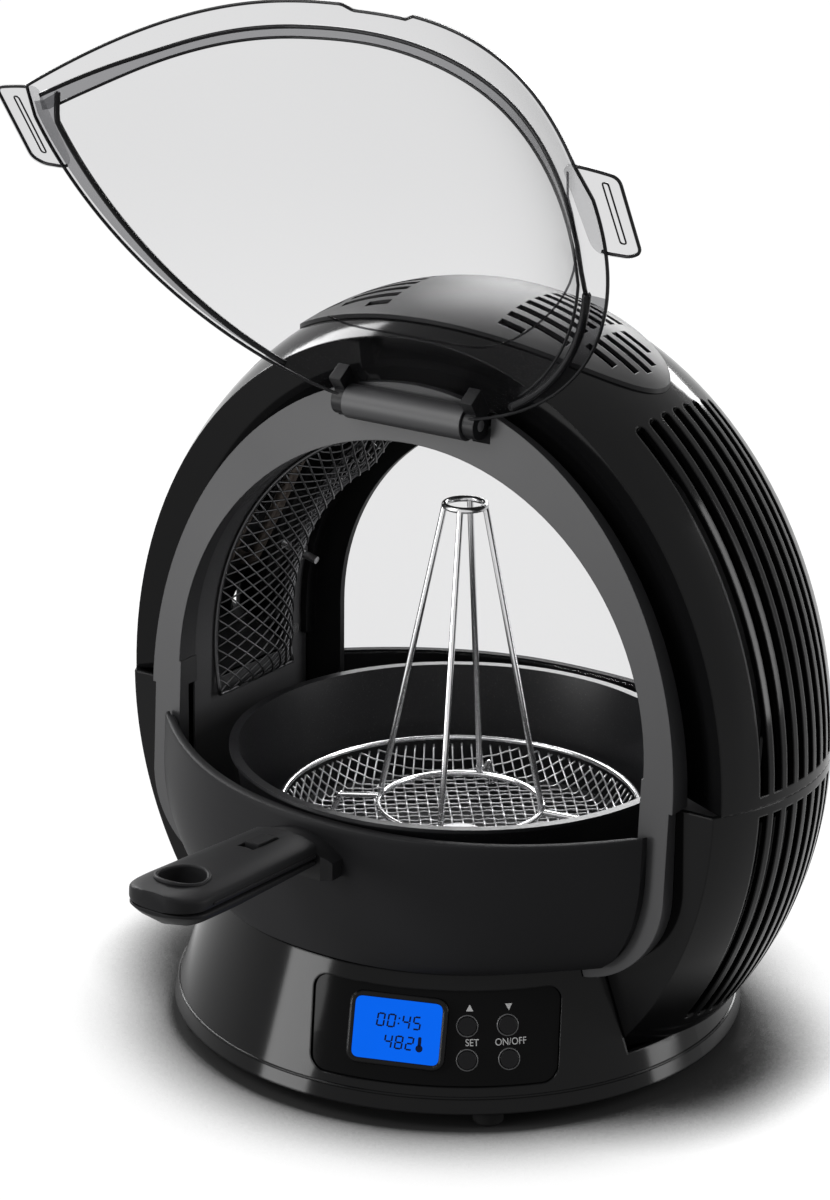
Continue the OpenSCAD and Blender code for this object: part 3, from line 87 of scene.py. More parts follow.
class Graph:
    """A node tree that grows by one node a call."""

    def __init__(self, tree):
        self.tree = tree

    def node(self, kind, settings=None, sockets=None, out=0):
        made = self.tree.nodes.new(kind)
        for key, value in (settings or {}).items():
            setattr(made, key, value)
        for key, value in (sockets or {}).items():
            self.feed(made.inputs[key], value)
        return Value(self, made.outputs[out])

    def feed(self, target, value):
        """Links a Value to a socket, or sets a plain number or colour on it."""
        if isinstance(value, Value):
            self.tree.links.new(value.socket, target)
        elif hasattr(target.default_value, "__len__"):
            size = len(target.default_value)
            target.default_value = (*value, 1)[:size] if size == 4 else value
        else:
            target.default_value = value

    def seen_directly(self):
        """One for rays that show the white room itself, straight, mirrored or through clear plastic."""
        rays = self.tree.nodes.new("ShaderNodeLightPath")
        seen = Value(self, rays.outputs["Is Camera Ray"])
        for name in ("Is Glossy Ray", "Is Transmission Ray"):
            seen = seen.maximum(Value(self, rays.outputs[name]))
        return seen


class Finish(Graph):
    """A material built round one Principled shader."""

    def __init__(self, name, **settings):
        self.material = bpy.data.materials.new(name)
        self.material.use_nodes = True
        super().__init__(self.material.node_tree)
        self.shader = self.tree.nodes["Principled BSDF"]
        self.output = self.tree.nodes["Material Output"]
        for socket, value in settings.items():
            self.set(socket.replace("_", " "), value)

    def set(self, socket, value):
        self.feed(self.shader.inputs[socket], value)

    def place(self):
        return self.node("ShaderNodeTexCoord", out="Object")

    def noise(self, scale, detail=2.0):
        sockets = {"Vector": self.place(), "Scale": scale, "Detail": detail}
        return self.node("ShaderNodeTexNoise", None, sockets)

    def mix(self, factor, first, second):
        return self.node("ShaderNodeMix", {"data_type": "RGBA"}, {0: factor, 6: first, 7: second}, out=2)

    def bump(self, height, strength, distance, normal=None):
        sockets = {"Height": height, "Strength": strength, "Distance": distance}
        if normal is not None:
            sockets["Normal"] = normal
        return self.node("ShaderNodeBump", None, sockets)

    def soft_edges(self, radius):
        return self.node("ShaderNodeBevel", {"samples": 4}, {"Radius": radius})


# ---------- finishes ----------
CLOUD_SCALE = 9.0
GRAIN_SCALE = 2600.0
GRAIN_DEPTH = 0.0002
DRAWN_SCALE = 900.0
DRAWN_DEPTH = 0.0001
PEEL_SCALE = 700.0
PEEL_DEPTH = 0.0003
FLECK_SCALE = 1700.0


def moulded(name, colour, rough, grain=0.0, level=0.3, edge=0.0006, streak=0.0):
    """Moulded plastic: a spark-eroded grain or a polish with faint handling marks."""
    f = Finish(name, Specular_IOR_Level=level)
    cloud = f.noise(CLOUD_SCALE, 3.0)
    fine = f.noise(GRAIN_SCALE, 2.0)
    pale = tuple(c * 1.35 + 0.002 for c in colour)
    f.set("Base Color", f.mix(cloud, colour, pale))
    f.set("Roughness", rough + cloud * (rough * 0.25) + fine * streak)
    normal = f.soft_edges(edge)
    if grain:
        normal = f.bump(fine, grain, GRAIN_DEPTH, normal)
    f.set("Normal", normal)
    return f.material


def metal(name, colour, rough, stretch=(1, 1, 1), depth=0.1, dark=0.75):
    """Metal with drawn lines along the axis that is stretched."""
    f = Finish(name, Metallic=1.0)
    place = f.node("ShaderNodeMapping", None, {"Vector": f.place(), "Scale": stretch})
    sockets = {"Vector": place, "Scale": DRAWN_SCALE, "Detail": 3.0}
    lines = f.node("ShaderNodeTexNoise", None, sockets)
    cloud = f.noise(30.0, 3.0)
    shade = tuple(c * dark for c in colour)
    f.set("Base Color", f.mix(cloud, colour, shade))
    f.set("Roughness", rough + lines * 0.12 + cloud * 0.06)
    f.set("Normal", f.bump(lines, depth, DRAWN_DEPTH))
    return f.material


def coated(name, colour, rough, speckle):
    """Baked or non-stick coating with a fine orange peel and small pale flecks."""
    f = Finish(name, Specular_IOR_Level=0.35)
    peel = f.noise(PEEL_SCALE, 2.0)
    flecks = f.noise(FLECK_SCALE, 1.0).above(0.70) * speckle
    pale = tuple(c + 0.10 for c in colour)
    f.set("Base Color", f.mix(flecks, colour, pale))
    f.set("Roughness", rough + peel * 0.14)
    f.set("Normal", f.bump(peel, 0.12, PEEL_DEPTH))
    return f.material


def clear(name, tint, dark, level):
    """Smoke-tinted clear plastic: lets light straight through, denser and shinier at a slant."""
    f = Finish(name, Specular_IOR_Level=level)
    slant = f.node("ShaderNodeLayerWeight", None, {"Blend": 0.35}, out="Facing")
    haze = f.noise(14.0, 3.0)
    f.set("Base Color", f.mix(haze, (0.012, 0.012, 0.013), (0.022, 0.022, 0.023)))
    f.set("Roughness", 0.04 + haze * 0.04)
    through = f.node("ShaderNodeBsdfTransparent", None, {"Color": tint})
    solid = dark + slant ** 3.0 * 0.55
    surface_look = Value(f, f.shader.outputs[0])
    blend = f.node("ShaderNodeMixShader", None, {0: solid, 1: through, 2: surface_look})
    f.tree.links.new(blend.socket, f.output.inputs["Surface"])
    return f.material


def lit(name, colour):
    """Backlit panel: an even glow, a little uneven over its width."""
    f = Finish(name, Roughness=0.12, Specular_IOR_Level=0.04)
    cloud = f.noise(60.0, 1.0)
    f.set("Base Color", f.mix(cloud, (0.0, 0.004, 0.02), (0.0, 0.006, 0.03)))
    f.set("Emission Color", f.mix(cloud * 0.4, colour, tuple(c * 0.86 for c in colour)))
    f.set("Emission Strength", 1.0)
    return f.material


GLOSS = moulded("polished_black", (0.0022, 0.0022, 0.0024), 0.09, level=0.12, edge=0.0014, streak=0.02)
PANEL = moulded("panel_black", (0.0014, 0.0014, 0.0015), 0.08, level=0.045, streak=0.02)
BEZEL = moulded("bezel_black", (0.0115, 0.0115, 0.0125), 0.46, grain=0.16, level=0.50)
MATTE = moulded("grained_black", (0.0062, 0.0062, 0.0068), 0.48, grain=0.16, level=0.09)
MATTE_DARK = moulded("dark_trim", (0.0055, 0.0055, 0.006), 0.38, grain=0.10, level=0.16)
GRIP = moulded("handle_black", (0.009, 0.009, 0.0095), 0.38, grain=0.10, level=0.05, edge=0.0009)
KEYS = moulded("key_black", (0.0045, 0.0045, 0.005), 0.24, grain=0.04, level=0.10)
# Paler colour for the raised rings round the keys: a painted highlight for the light their rims catch.
KEY_RIM_HIGHLIGHT = moulded("key_rim_highlight", (0.05, 0.05, 0.052), 0.25, level=0.5)
RUBBER = moulded("rubber", (0.006, 0.006, 0.006), 0.75, grain=0.25, level=0.15)
NYLON = moulded("natural_nylon", (0.62, 0.59, 0.50), 0.45, grain=0.10, level=0.4)
BOARD = moulded("circuit_board", (0.02, 0.10, 0.045), 0.35, grain=0.05, level=0.4)
INK = moulded("display_ink", (0.002, 0.006, 0.03), 0.4, level=0.05)
PRINT = moulded("pale_print", (0.36, 0.36, 0.36), 0.5, grain=0.05)
STEEL = metal("brushed_steel", (0.62, 0.62, 0.63), 0.26, stretch=(1, 12, 1))
WIRE = metal("plated_wire", (0.74, 0.74, 0.75), 0.14, depth=0.03)
MESH = metal("mesh_wire", (0.56, 0.56, 0.57), 0.22, depth=0.05)
GUARD = metal("guard_wire", (0.12, 0.12, 0.124), 0.34, depth=0.05)
MOTOR = metal("motor_can", (0.30, 0.31, 0.32), 0.36, stretch=(1, 1, 10))
ELEMENT = metal("heated_tube", (0.20, 0.17, 0.15), 0.45, stretch=(1, 1, 8), depth=0.2, dark=0.5)
BRONZE = metal("sintered_bronze", (0.50, 0.36, 0.17), 0.42)
POLISHED = metal("reflector_plate", (0.13, 0.13, 0.135), 0.30, stretch=(1, 8, 1), depth=0.05)
LINER = coated("dark_liner", (0.060, 0.060, 0.062), 0.34, speckle=0.1)
PAN = coated("non_stick", (0.007, 0.007, 0.008), 0.28, speckle=0.4)
CLEAR = clear("smoked_clear", (0.88, 0.88, 0.883), dark=0.03, level=0.04)
BAND = clear("smoked_band", (0.46, 0.46, 0.47), dark=0.12, level=0.10)
EDGE = clear("smoked_edge", (0.02, 0.02, 0.021), dark=0.80, level=0.12)
LENS = lit("display_blue", (0.0, 0.125, 0.86))

FINISHES = {
    GLOSS: ("upper_shell", "left_shell", "right_shell", "base_housing"),
    PANEL: ("control_panel",),
    BEZEL: ("front_bezel",),
    MATTE: ("pan_front", "rear_wall"),
    MATTE_DARK: ("vent_cap", "cap_frame", "rear_frame", "base_plate", "cord_inlet", "handle_socket",
                 "display_module", "lid_lugs"),
    GRIP: ("handle_upper", "handle_lower", "handle_latch"),
    KEYS: ("button_up", "button_down", "button_set", "button_power"),
    RUBBER: ("feet",),
    NYLON: ("drive_gear", "drive_pinion", "pan_bush", "pan_feet"),
    BOARD: ("control_board",),
    STEEL: ("hinge_pin", "drive_shaft", "pan_bracket", "tray_hub", "temperature_probe", "fan_rotor"),
    WIRE: ("rack_base", "rack_uprights", "guard_screws", "base_screws", "handle_screws"),
    MESH: ("tray_floor", "tray_side"),
    GUARD: ("heater_guard",),
    MOTOR: ("fan_motor", "drive_motor"),
    ELEMENT: ("heating_element",),
    BRONZE: ("shaft_bearing",),
    LINER: ("oven_liner",),
    POLISHED: ("heater_reflector",),
    PAN: ("pan_bowl",),
    CLEAR: ("rear_window", "lid_panel", "lid_grips"),
    LENS: ("display_lens",),
}


def dress(piece, material):
    piece.data.materials.clear()
    piece.data.materials.append(material)


def dress_frame():
    for material, names in FINISHES.items():
        for name in names:
            dress(frame["nodes"][name], material)


# ---------- points and outlines ----------
def steps(count):
    """Shares from 0 to 1 in even steps, with both ends."""
    return [i / count for i in range(count + 1)]


def turns(count):
    """Angles evenly round a full turn."""
    return [2 * math.pi * k / count for k in range(count)]


def circle(radius, z, count):
    return [(radius * math.cos(a), radius * math.sin(a), z) for a in turns(count)]


def rounded(points, radius, count=6):
    """A closed flat outline with its corners rounded."""
    outline = []
    for i, point in enumerate(points):
        corner = Vector(point)
        before = Vector(points[i - 1]) - corner
        after = Vector(points[(i + 1) % len(points)]) - corner
        reach = min(radius, before.length * 0.45, after.length * 0.45)
        start = corner + before.normalized() * reach
        end = corner + after.normalized() * reach
        outline += [start.lerp(corner, t).lerp(corner.lerp(end, t), t) for t in steps(count)]
    return outline


def rounded_box(left, right, low, high, radius):
    return rounded([(left, low), (right, low), (right, high), (left, high)], radius, 8)


def bow(u, power=2.3):
    """Share of the full bulge at u, from 1 in the middle to 0 at both ends."""
    return 1 - min(1, abs(u)) ** power


# ---------- building blocks ----------
def add_piece(name, verts, faces, material, smooth=True):
    mesh = bpy.data.meshes.new(name)
    mesh.from_pydata([Vector(v) * MM for v in verts], [], faces)
    mesh.update()
    piece = bpy.data.objects.new(name, mesh)
    bpy.context.scene.collection.objects.link(piece)
    if smooth:
        mesh.polygons.foreach_set("use_smooth", [True] * len(mesh.polygons))
    dress(piece, material)
    return piece


def finish_piece(piece, body, slot, *nodes):
    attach(piece, body)
    if nodes:
        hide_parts(*nodes)
    return piece


def apply_modifiers(piece):
    bpy.context.view_layer.update()
    shown = piece.evaluated_get(bpy.context.evaluated_depsgraph_get())
    mesh = bpy.data.meshes.new_from_object(shown)
    piece.modifiers.clear()
    piece.data = mesh


def recalc(piece):
    """Turns every face of a closed piece outward."""
    edit = bmesh.new()
    edit.from_mesh(piece.data)
    bmesh.ops.recalc_face_normals(edit, faces=edit.faces)
    edit.to_mesh(piece.data)
    edit.free()


def smooth_by_angle(piece, degrees):
    mesh = piece.data
    mesh.polygons.foreach_set("use_smooth", [True] * len(mesh.polygons))
    mesh.set_sharp_from_angle(angle=math.radians(degrees))


def cut_with(piece, cutters):
    for cutter in cutters:
        cut = piece.modifiers.new("cut", "BOOLEAN")
        cut.operation = "DIFFERENCE"
        cut.object = cutter
        cut.solver = "EXACT"
    apply_modifiers(piece)


def grid_faces(rows, cols, closed=False):
    wrap = cols if closed else cols - 1
    return [(r * cols + c, r * cols + (c + 1) % cols, (r + 1) * cols + (c + 1) % cols, (r + 1) * cols + c)
            for r in range(rows - 1) for c in range(wrap)]


def prism_faces(count):
    """Faces between two outlines of count points each, with both ends shut."""
    faces = [tuple(range(count)), tuple(range(2 * count - 1, count - 1, -1))]
    return faces + [(k, count + k, count + (k + 1) % count, (k + 1) % count) for k in range(count)]


def box_shape(low, high):
    verts = [(x, y, z) for z in (low[2], high[2]) for y in (low[1], high[1]) for x in (low[0], high[0])]
    faces = [(0, 2, 3, 1), (4, 5, 7, 6), (0, 1, 5, 4), (2, 6, 7, 3), (0, 4, 6, 2), (1, 3, 7, 5)]
    return verts, faces


def disc_shape(radius, low, high, sides=48):
    """A flat disc about the turning axis, with its upper edge broken."""
    profile = [(0.0, high), (radius - 1, high), (radius, high - 0.6), (radius, low), (0.0, low)]
    verts = [point for r, z in profile for point in circle(r, z, sides)]
    return verts, [tuple(reversed(f)) for f in grid_faces(len(profile), sides, True)]


def surface(name, rows, material, thickness=0.0, offset=1.0):
    """A sheet through rows of points, thickened along its own normals."""
    verts = [p for row in rows for p in row]
    piece = add_piece(name, verts, grid_faces(len(rows), len(rows[0])), material)
    if thickness:
        solid = piece.modifiers.new("wall", "SOLIDIFY")
        solid.thickness = thickness * MM
        solid.offset = offset
        solid.use_even_offset = True
    return piece


def tube_shape(rows):
    """A closed skin over rings of points, with both ends shut."""
    count = len(rows[0])
    verts = [p for row in rows for p in row]
    faces = grid_faces(len(rows), count, True)
    faces.append(tuple(range(count))[::-1])
    faces.append(tuple((len(rows) - 1) * count + k for k in range(count)))
    return verts, faces


def sweep(path, section, closed=False):
    """Points and faces of a section (pairs) carried along a path of points."""
    path = [Vector(p) for p in path]
    count = len(path)
    verts, faces = [], []
    side = None
    for i, point in enumerate(path):
        before = path[(i - 1) % count] if closed or i > 0 else point
        after = path[(i + 1) % count] if closed or i < count - 1 else point
        ahead = (after - before).normalized()
        if side is None:
            side = ahead.cross(Vector((0, 0, 1)))
            if side.length < 1e-4:
                side = ahead.cross(Vector((1, 0, 0)))
        side = (side - ahead * side.dot(ahead)).normalized()
        up = side.cross(ahead)
        verts += [point + side * a + up * b for a, b in section]
    n = len(section)
    for i in range(count if closed else count - 1):
        j = (i + 1) % count
        faces += [(i * n + k, i * n + (k + 1) % n, j * n + (k + 1) % n, j * n + k) for k in range(n)]
    if not closed:
        faces.append(tuple(range(n))[::-1])
        faces.append(tuple((count - 1) * n + k for k in range(n)))
    return verts, faces


def wires(name, paths, radius, material, sides=8):
    """Round wires along several paths, as one piece; a path is (points, closed)."""
    section = [(x, y) for x, y, _ in circle(radius, 0, sides)]
    verts, faces = [], []
    for points, closed in paths:
        more, quads = sweep(points, section, closed)
        faces += [tuple(i + len(verts) for i in quad) for quad in quads]
        verts += more
    return add_piece(name, verts, faces, material)


# ---------- sizes taken from the frame, in millimetres ----------
def spans(node):
    """Low and high ends of a solid along x, y and z."""
    return [[round(end / MM, 2) for end in ends] for ends in zip(*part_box(node))]


LID_JOINT = next(joint for joint in frame["joints"] if joint["name"] == "lid_hinge")
HINGE = Vector([round(place / MM, 2) for place in LID_JOINT["pos_m"]])
LID_OPEN = math.radians(LID_JOINT["range_deg"][1])

(_, WALL_HALF), _, (WALL_LOW, WALL_TOP) = spans("pan_front")
(_, REAR_HALF), (REAR_IN, REAR_OUT), (REAR_LOW, REAR_TOP) = spans("rear_wall")
(_, PANE_HALF), (PANE_IN, PANE_OUT), (PANE_LOW, PANE_TOP) = spans("rear_window")
(_, BASE_R), _, (BASE_LOW, BASE_TOP) = spans("base_housing")
(_, RIM_R), _, (_, RIM_TOP) = spans("tray_side")
(GUARD_LEFT, _), (GUARD_FRONT, GUARD_BACK), _ = spans("heater_guard")
(HANDLE_LEFT, HANDLE_RIGHT), _, _ = spans("handle_upper")
_, (SOCKET_FRONT, _), _ = spans("handle_socket")
_, _, (_, RING_Z) = spans("left_shell")

FACE_Y = -59.0
FACE_LEAN = math.tan(math.radians(3.1))


def face_y(z):
    """Front face of the leaning arch at a height."""
    return FACE_Y + (z - RING_Z) * FACE_LEAN


# ---------- lid ----------
LID_T = 2.6
LID_ROOM = 0.7
LID_LOW_Z = 144.5
LID_CORNER_Z = 155.0
LID_TOP_Z = 350.0
LID_WIDE_Z = 175.0
LID_WIDE_HALF = 164.0
LID_LOW_HALF = 157.6
LID_TOP_HALF = 22.0
LID_BULGE = 70.0

NOTCH_START = -0.03
NOTCH_END = 0.235
NOTCH_SLOPE = 0.035
NOTCH_DEPTH = 3.2

# Lines moulded into the lid, as (u, v).
OUTER_RIB = [(-0.97, 0.043), (-0.69, 0.075), (-0.2, 0.083), (0, 0.083), (0.135, 0.092),
             (0.315, 0.113), (0.47, 0.133), (0.625, 0.15), (0.745, 0.18), (0.80, 0.215),
             (0.855, 0.27), (0.90, 0.35), (0.925, 0.45)]
INNER_RIB = [(-0.92, 0.09), (-0.82, 0.10), (-0.55, 0.107), (-0.2, 0.115), (0, 0.115), (0.12, 0.125),
             (0.3, 0.152), (0.43, 0.175), (0.545, 0.205), (0.65, 0.245), (0.75, 0.30), (0.83, 0.38),
             (0.87, 0.46)]
# Height share of the painted fold shade: a dark line where the dome turns away near the hinge, standing in
# for its shading; the lid has no moulded line there.
LID_FOLD_SHADE_V = 0.857
BEAD_U = 0.925
BEAD_TOP = 0.90
ON_SKIN = 0.25


def opened(point):
    """A point of the closed lid, where it lies with the lid open."""
    return HINGE + Matrix.Rotation(-LID_OPEN, 3, "X") @ (Vector(point) - HINGE)


def lid_half(z):
    if z < LID_WIDE_Z:
        return LID_LOW_HALF + (LID_WIDE_HALF - LID_LOW_HALF) * (z - LID_LOW_Z) / (LID_WIDE_Z - LID_LOW_Z)
    share = (z - LID_WIDE_Z) / (LID_TOP_Z - LID_WIDE_Z)
    return LID_WIDE_HALF * math.sqrt(max(0, 1 - share ** 2))


def notch(u):
    """Depth of the finger notch in the lid's free edge."""
    return NOTCH_DEPTH * max(0, min(1, (u - NOTCH_START) / NOTCH_SLOPE, (NOTCH_END - u) / NOTCH_SLOPE))


def lid_point(u, v):
    """A point of the closed lid's outer skin; u runs across, v from the free edge to the hinge."""
    z_low = LID_LOW_Z + (LID_CORNER_Z - LID_LOW_Z) * abs(u) ** 2.3
    z = z_low + (LID_TOP_Z - z_low) * v + notch(u) * max(0, 1 - v / 0.03)
    half = max(LID_TOP_HALF, lid_half(LID_CORNER_Z + (LID_TOP_Z - LID_CORNER_Z) * v))
    flat_rim = 1 - 0.09 * min(1, v / 0.15)
    bulge = LID_BULGE * (1 - v * v) ** 0.8 * bow(abs(u) / flat_rim, 2.45 + 1.6 * v)
    return Vector((u * half, face_y(z) - LID_ROOM - LID_T - bulge, z))


def on_lid(u, v, out=0.0):
    """The same point with the lid open; out stands it off the skin."""
    return opened(lid_point(u, v) - Vector((0, out, 0)))


def along(line, u):
    """Height share of a line given by (u, v) points."""
    for (u0, v0), (u1, v1) in zip(line, line[1:]):
        if u <= u1:
            return v0 + (v1 - v0) * max(0, u - u0) / (u1 - u0)
    return line[-1][1]


def smooth_line(line, count=70, rounds=6):
    """The same line with its corners eased."""
    us = [line[0][0] + (line[-1][0] - line[0][0]) * k / count for k in range(count + 1)]
    vs = [along(line, u) for u in us]
    for _ in range(rounds):
        vs = [vs[0]] + [(a + 2 * b + c) / 4 for a, b, c in zip(vs, vs[1:], vs[2:])] + [vs[-1]]
    return list(zip(us, vs))


def lid_line(name, line, radius, material=EDGE, out=0.0):
    path = [on_lid(u, v, out) for u, v in line]
    finish_piece(wires(name, [(path, False)], radius, material), "lid", "clear")


def build_lid_dome():
    rows = [[on_lid(u * 2 - 1, math.sin(math.pi / 2 * t) ** 1.15) for u in steps(120)]
            for t in steps(84)]
    dome = surface("lid_dome", rows, CLEAR, LID_T, -1.0)
    verts, faces = box_shape((-45, -84, 340.6), (45, -20, 400))
    cutter = add_piece("hinge_notch", [opened(v) for v in verts], faces, CLEAR, False)
    cut_with(dome, [cutter])
    bpy.data.objects.remove(cutter)
    smooth_by_angle(dome, 40)
    finish_piece(dome, "lid", "clear", "lid_panel")


def build_lid_ribs():
    outer = smooth_line(OUTER_RIB)
    inner = smooth_line(INNER_RIB)
    tail = [(0.87 + 0.01 * t, 0.47 + 0.40 * t) for t in steps(30)]
    lid_line("lid_rib_outer", outer, 1.15)
    lid_line("lid_rib_inner", inner + tail, 0.8)
    lid_line("lid_free_edge", [(u * 2 - 1, 0.0) for u in steps(160)], 0.85, out=-LID_T / 2)
    # Painted shade: a thin dark line along the dome's fold near the hinge stands in for the shading there.
    sweep_angles = [math.pi * (k / 60 - 0.5) * 0.93 for k in range(17, 61)]
    fold_shade = [(0.9 * math.sin(a), LID_FOLD_SHADE_V * (1 - abs(math.sin(a)) ** 6) ** (2 / 3)) for a in sweep_angles]
    lid_line("lid_fold_shade", fold_shade, 0.6, BAND)
    band = [[on_lid(u, v + (along(INNER_RIB, u) - v) * t, ON_SKIN) for t in steps(3)]
            for u, v in outer if u <= 0.84]
    finish_piece(surface("lid_band", band, BAND), "lid", "clear")


def build_lid_side(side, name, bead_low, bead_radius):
    edge = [(side, math.sin(math.pi / 2 * t)) for t in steps(60)][:56]
    lid_line("lid_edge_" + name, edge, 0.9, out=-LID_T / 2)
    bead = [(side * BEAD_U, bead_low + (BEAD_TOP - bead_low) * t) for t in steps(50)]
    lid_line("lid_bead_" + name, bead, bead_radius)
    flange = [[on_lid(side * u, bead_low + (BEAD_TOP - bead_low) * t, ON_SKIN) for u in (0.93, 0.96, 0.995)]
              for t in steps(40)]
    finish_piece(surface("lid_flange_" + name, flange, BAND), "lid", "clear")


def build_grip_tab(side, name):
    """Flat grip beside a lower corner of the lid, with a pressed slot."""
    def place(x, z, out=0.0):
        return opened((side * x, face_y(z) - 0.75 - LID_T - out, z))

    outline = rounded([(154, 156), (163, 156.2), (172, 157.5), (182.0, 159.5), (180.4, 205),
                       (174, 208.8), (155, 208.8)], 9)
    slot = rounded([(171.0, 165), (174.2, 165), (173.2, 202), (170.0, 202)], 1.5, 4)
    front = [place(x, z) for x, z in outline]
    back = [place(x, z, -LID_T) for x, z in outline]
    tab = add_piece("grip_tab_" + name, front + back, prism_faces(len(outline)), CLEAR, False)
    recalc(tab)
    finish_piece(tab, "lid", "clear", "lid_grips")
    free_edge = [place(x, z, -1.0) for x, z in outline][8:-4]
    finish_piece(wires("grip_rim_" + name, [(free_edge, False)], 0.85, EDGE), "lid", "clear")
    slot_path = [place(x, z) for x, z in slot]
    finish_piece(wires("grip_slot_" + name, [(slot_path, True)], 0.45, EDGE, 6), "lid", "clear")


def build_lid():
    build_lid_dome()
    build_lid_ribs()
    for side, name, bead_low, bead_radius in ((-1, "left", 0.06, 1.6), (1, "right", 0.44, 2.2)):
        build_lid_side(side, name, bead_low, bead_radius)
        build_grip_tab(side, name)


# ---------- pan wall, rear wall, rear window ----------
WALL_T = 4.5
WALL_CORNER = 54.0
WALL_FOOT_HALF = 124.0
WALL_DIP = 6.0
WALL_OUT = 5.3
WALL_BULGE = 64.5
LEDGE = 6.8


def wall_half(z):
    share = max(0, (WALL_LOW + WALL_CORNER - z) / WALL_CORNER)
    return WALL_FOOT_HALF + (WALL_HALF - WALL_FOOT_HALF) * math.sqrt(max(0, 1 - share ** 2))


def wall_point(u, v):
    top = WALL_TOP - WALL_DIP * bow(u)
    z = WALL_LOW + (top - WALL_LOW) * v
    return Vector((u * wall_half(z), face_y(z) - WALL_OUT - WALL_BULGE * bow(u), z))


def wall_loop(u):
    """Section of the pan's wall: outer skin, crowned ledge, inner skin."""
    room, depth = (0.2, 5.1) if abs(u) > 0.93 else (0.8, WALL_T)
    outer = [wall_point(u, v) for v in steps(26)]
    top = outer[-1]
    widest = WALL_T * 0.98 if abs(u) > 0.97 else LEDGE
    ledge = min(widest, face_y(top.z) - room - top.y)
    crown = [top + Vector((0, ledge / 2 - ledge / 2 * math.cos(a), 1.1 * math.sin(a)))
             for a in (math.pi * k / 10 for k in range(1, 10))]
    inner = [Vector((p.x, min(face_y(p.z) - room, p.y + (ledge if i > 22 else depth)), p.z))
             for i, p in enumerate(outer)]
    return outer + crown + inner[::-1]


def build_pan_front():
    spread = [math.copysign(abs(t * 2 - 1) ** 0.9, t * 2 - 1) for t in steps(96)]
    verts, faces = tube_shape([wall_loop(u) for u in spread])
    wall = add_piece("pan_front_wall", verts, [face[::-1] for face in faces], MATTE)
    recalc(wall)
    smooth_by_angle(wall, 40)
    finish_piece(wall, "pan", "trim", "pan_front")


def rear_wall_point(u, v):
    foot_half = 112
    half = foot_half + (REAR_HALF - foot_half) * math.sqrt(1 - (1 - v) ** 2)
    bulge = REAR_OUT - REAR_IN - WALL_T
    return Vector((u * half, REAR_IN + WALL_T + bulge * bow(u), REAR_LOW + (REAR_TOP - REAR_LOW) * v))


def rear_pane_point(u, v):
    arch_z = 190
    z = PANE_LOW + (PANE_TOP - PANE_LOW) * v
    share = max(0, z - arch_z) / (PANE_TOP - arch_z)
    half = max(6, PANE_HALF * math.sqrt(max(0, 1 - share ** 2)))
    bulge = PANE_OUT - PANE_IN - LID_T
    y = PANE_IN + LID_T + bulge * (1 - v ** 2.2) ** 0.7 * bow(abs(u) / 0.94, 2.3 + v)
    return Vector((u * half, y, z))


def build_rear():
    rows = [[rear_wall_point(u * 2 - 1, v) for u in steps(80)] for v in steps(20)]
    wall = surface("rear_wall_skin", rows, MATTE, 4.4)
    rows = [[rear_pane_point(u * 2 - 1, math.sin(math.pi / 2 * t)) for u in steps(72)] for t in steps(56)]
    pane = surface("rear_pane", rows, CLEAR, LID_T)
    for piece, slot, node in ((wall, "trim", "rear_wall"), (pane, "clear", "rear_window")):
        apply_modifiers(piece)
        smooth_by_angle(piece, 40)
        finish_piece(piece, "housing", slot, node)


def build_louvre_shade_sheets():
    """Dark sheets behind the louvres of the two lower shells: painted shade standing in for the dark inside
    of the housing.
    """
    inner_r = 202 - 3 - 1.6
    crown_r, crown_y = 128, 12
    stretch = 1.09

    def point(side, down, share):
        angle = math.radians(3 + 37 * down)
        y = -24 + 76 * share
        radius = inner_r - (crown_r - math.sqrt(crown_r ** 2 - (y - crown_y) ** 2))
        return Vector((side * radius * math.cos(angle), y, RING_Z - stretch * radius * math.sin(angle)))

    for side, name in ((-1, "left"), (1, "right")):
        rows = [[point(side, down, share) for share in steps(12)] for down in steps(40)]
        finish_piece(surface("louvre_shade_sheet_" + name, rows, MATTE_DARK), "housing", "trim")


# ---------- wire work ----------
TRAY_FLAT_R = 86.5
TRAY_LEVEL = 98.9
MESH_REACH = 107.0
MESH_PITCH = 5.9
MESH_STEP = 2.9
MESH_TURN = math.radians(38)
MESH_WEAVE = 0.42
RIM_WIRE = 1.6


def formed(x, y, lift):
    """A point of the flat mesh once its border is pressed up into the tray's side."""
    r = math.hypot(x, y)
    over = max(0.0, r - TRAY_FLAT_R)
    if over == 0:
        return (x, y, TRAY_LEVEL + lift)
    scale = (TRAY_FLAT_R + (over if over < 2 else 2 + (over - 2) * 0.46)) / r
    up = over * over / 14 if over < 5 else 25 / 14 + (over - 5) * 0.90
    bend = min(1.0, over / 5)
    return (x * scale, y * scale, TRAY_LEVEL + up + lift * (1 - 0.4 * bend))


def mesh_wire(family, number):
    """One wire of the weave; the two families cross at right angles."""
    offset = (number + 0.5) * MESH_PITCH
    half = math.sqrt(MESH_REACH ** 2 - offset ** 2)
    phase = family * (1 if number % 2 else -1)
    count = int(half * 2 / MESH_STEP)
    points = []
    for k in range(count + 1):
        s = -half + 2 * half * k / count
        x, y = (offset, s) if family > 0 else (s, offset)
        weave = MESH_WEAVE * math.cos(math.pi * s / MESH_PITCH) * phase
        points.append(formed(x * math.cos(MESH_TURN) - y * math.sin(MESH_TURN),
                             x * math.sin(MESH_TURN) + y * math.cos(MESH_TURN), weave))
    return points, False


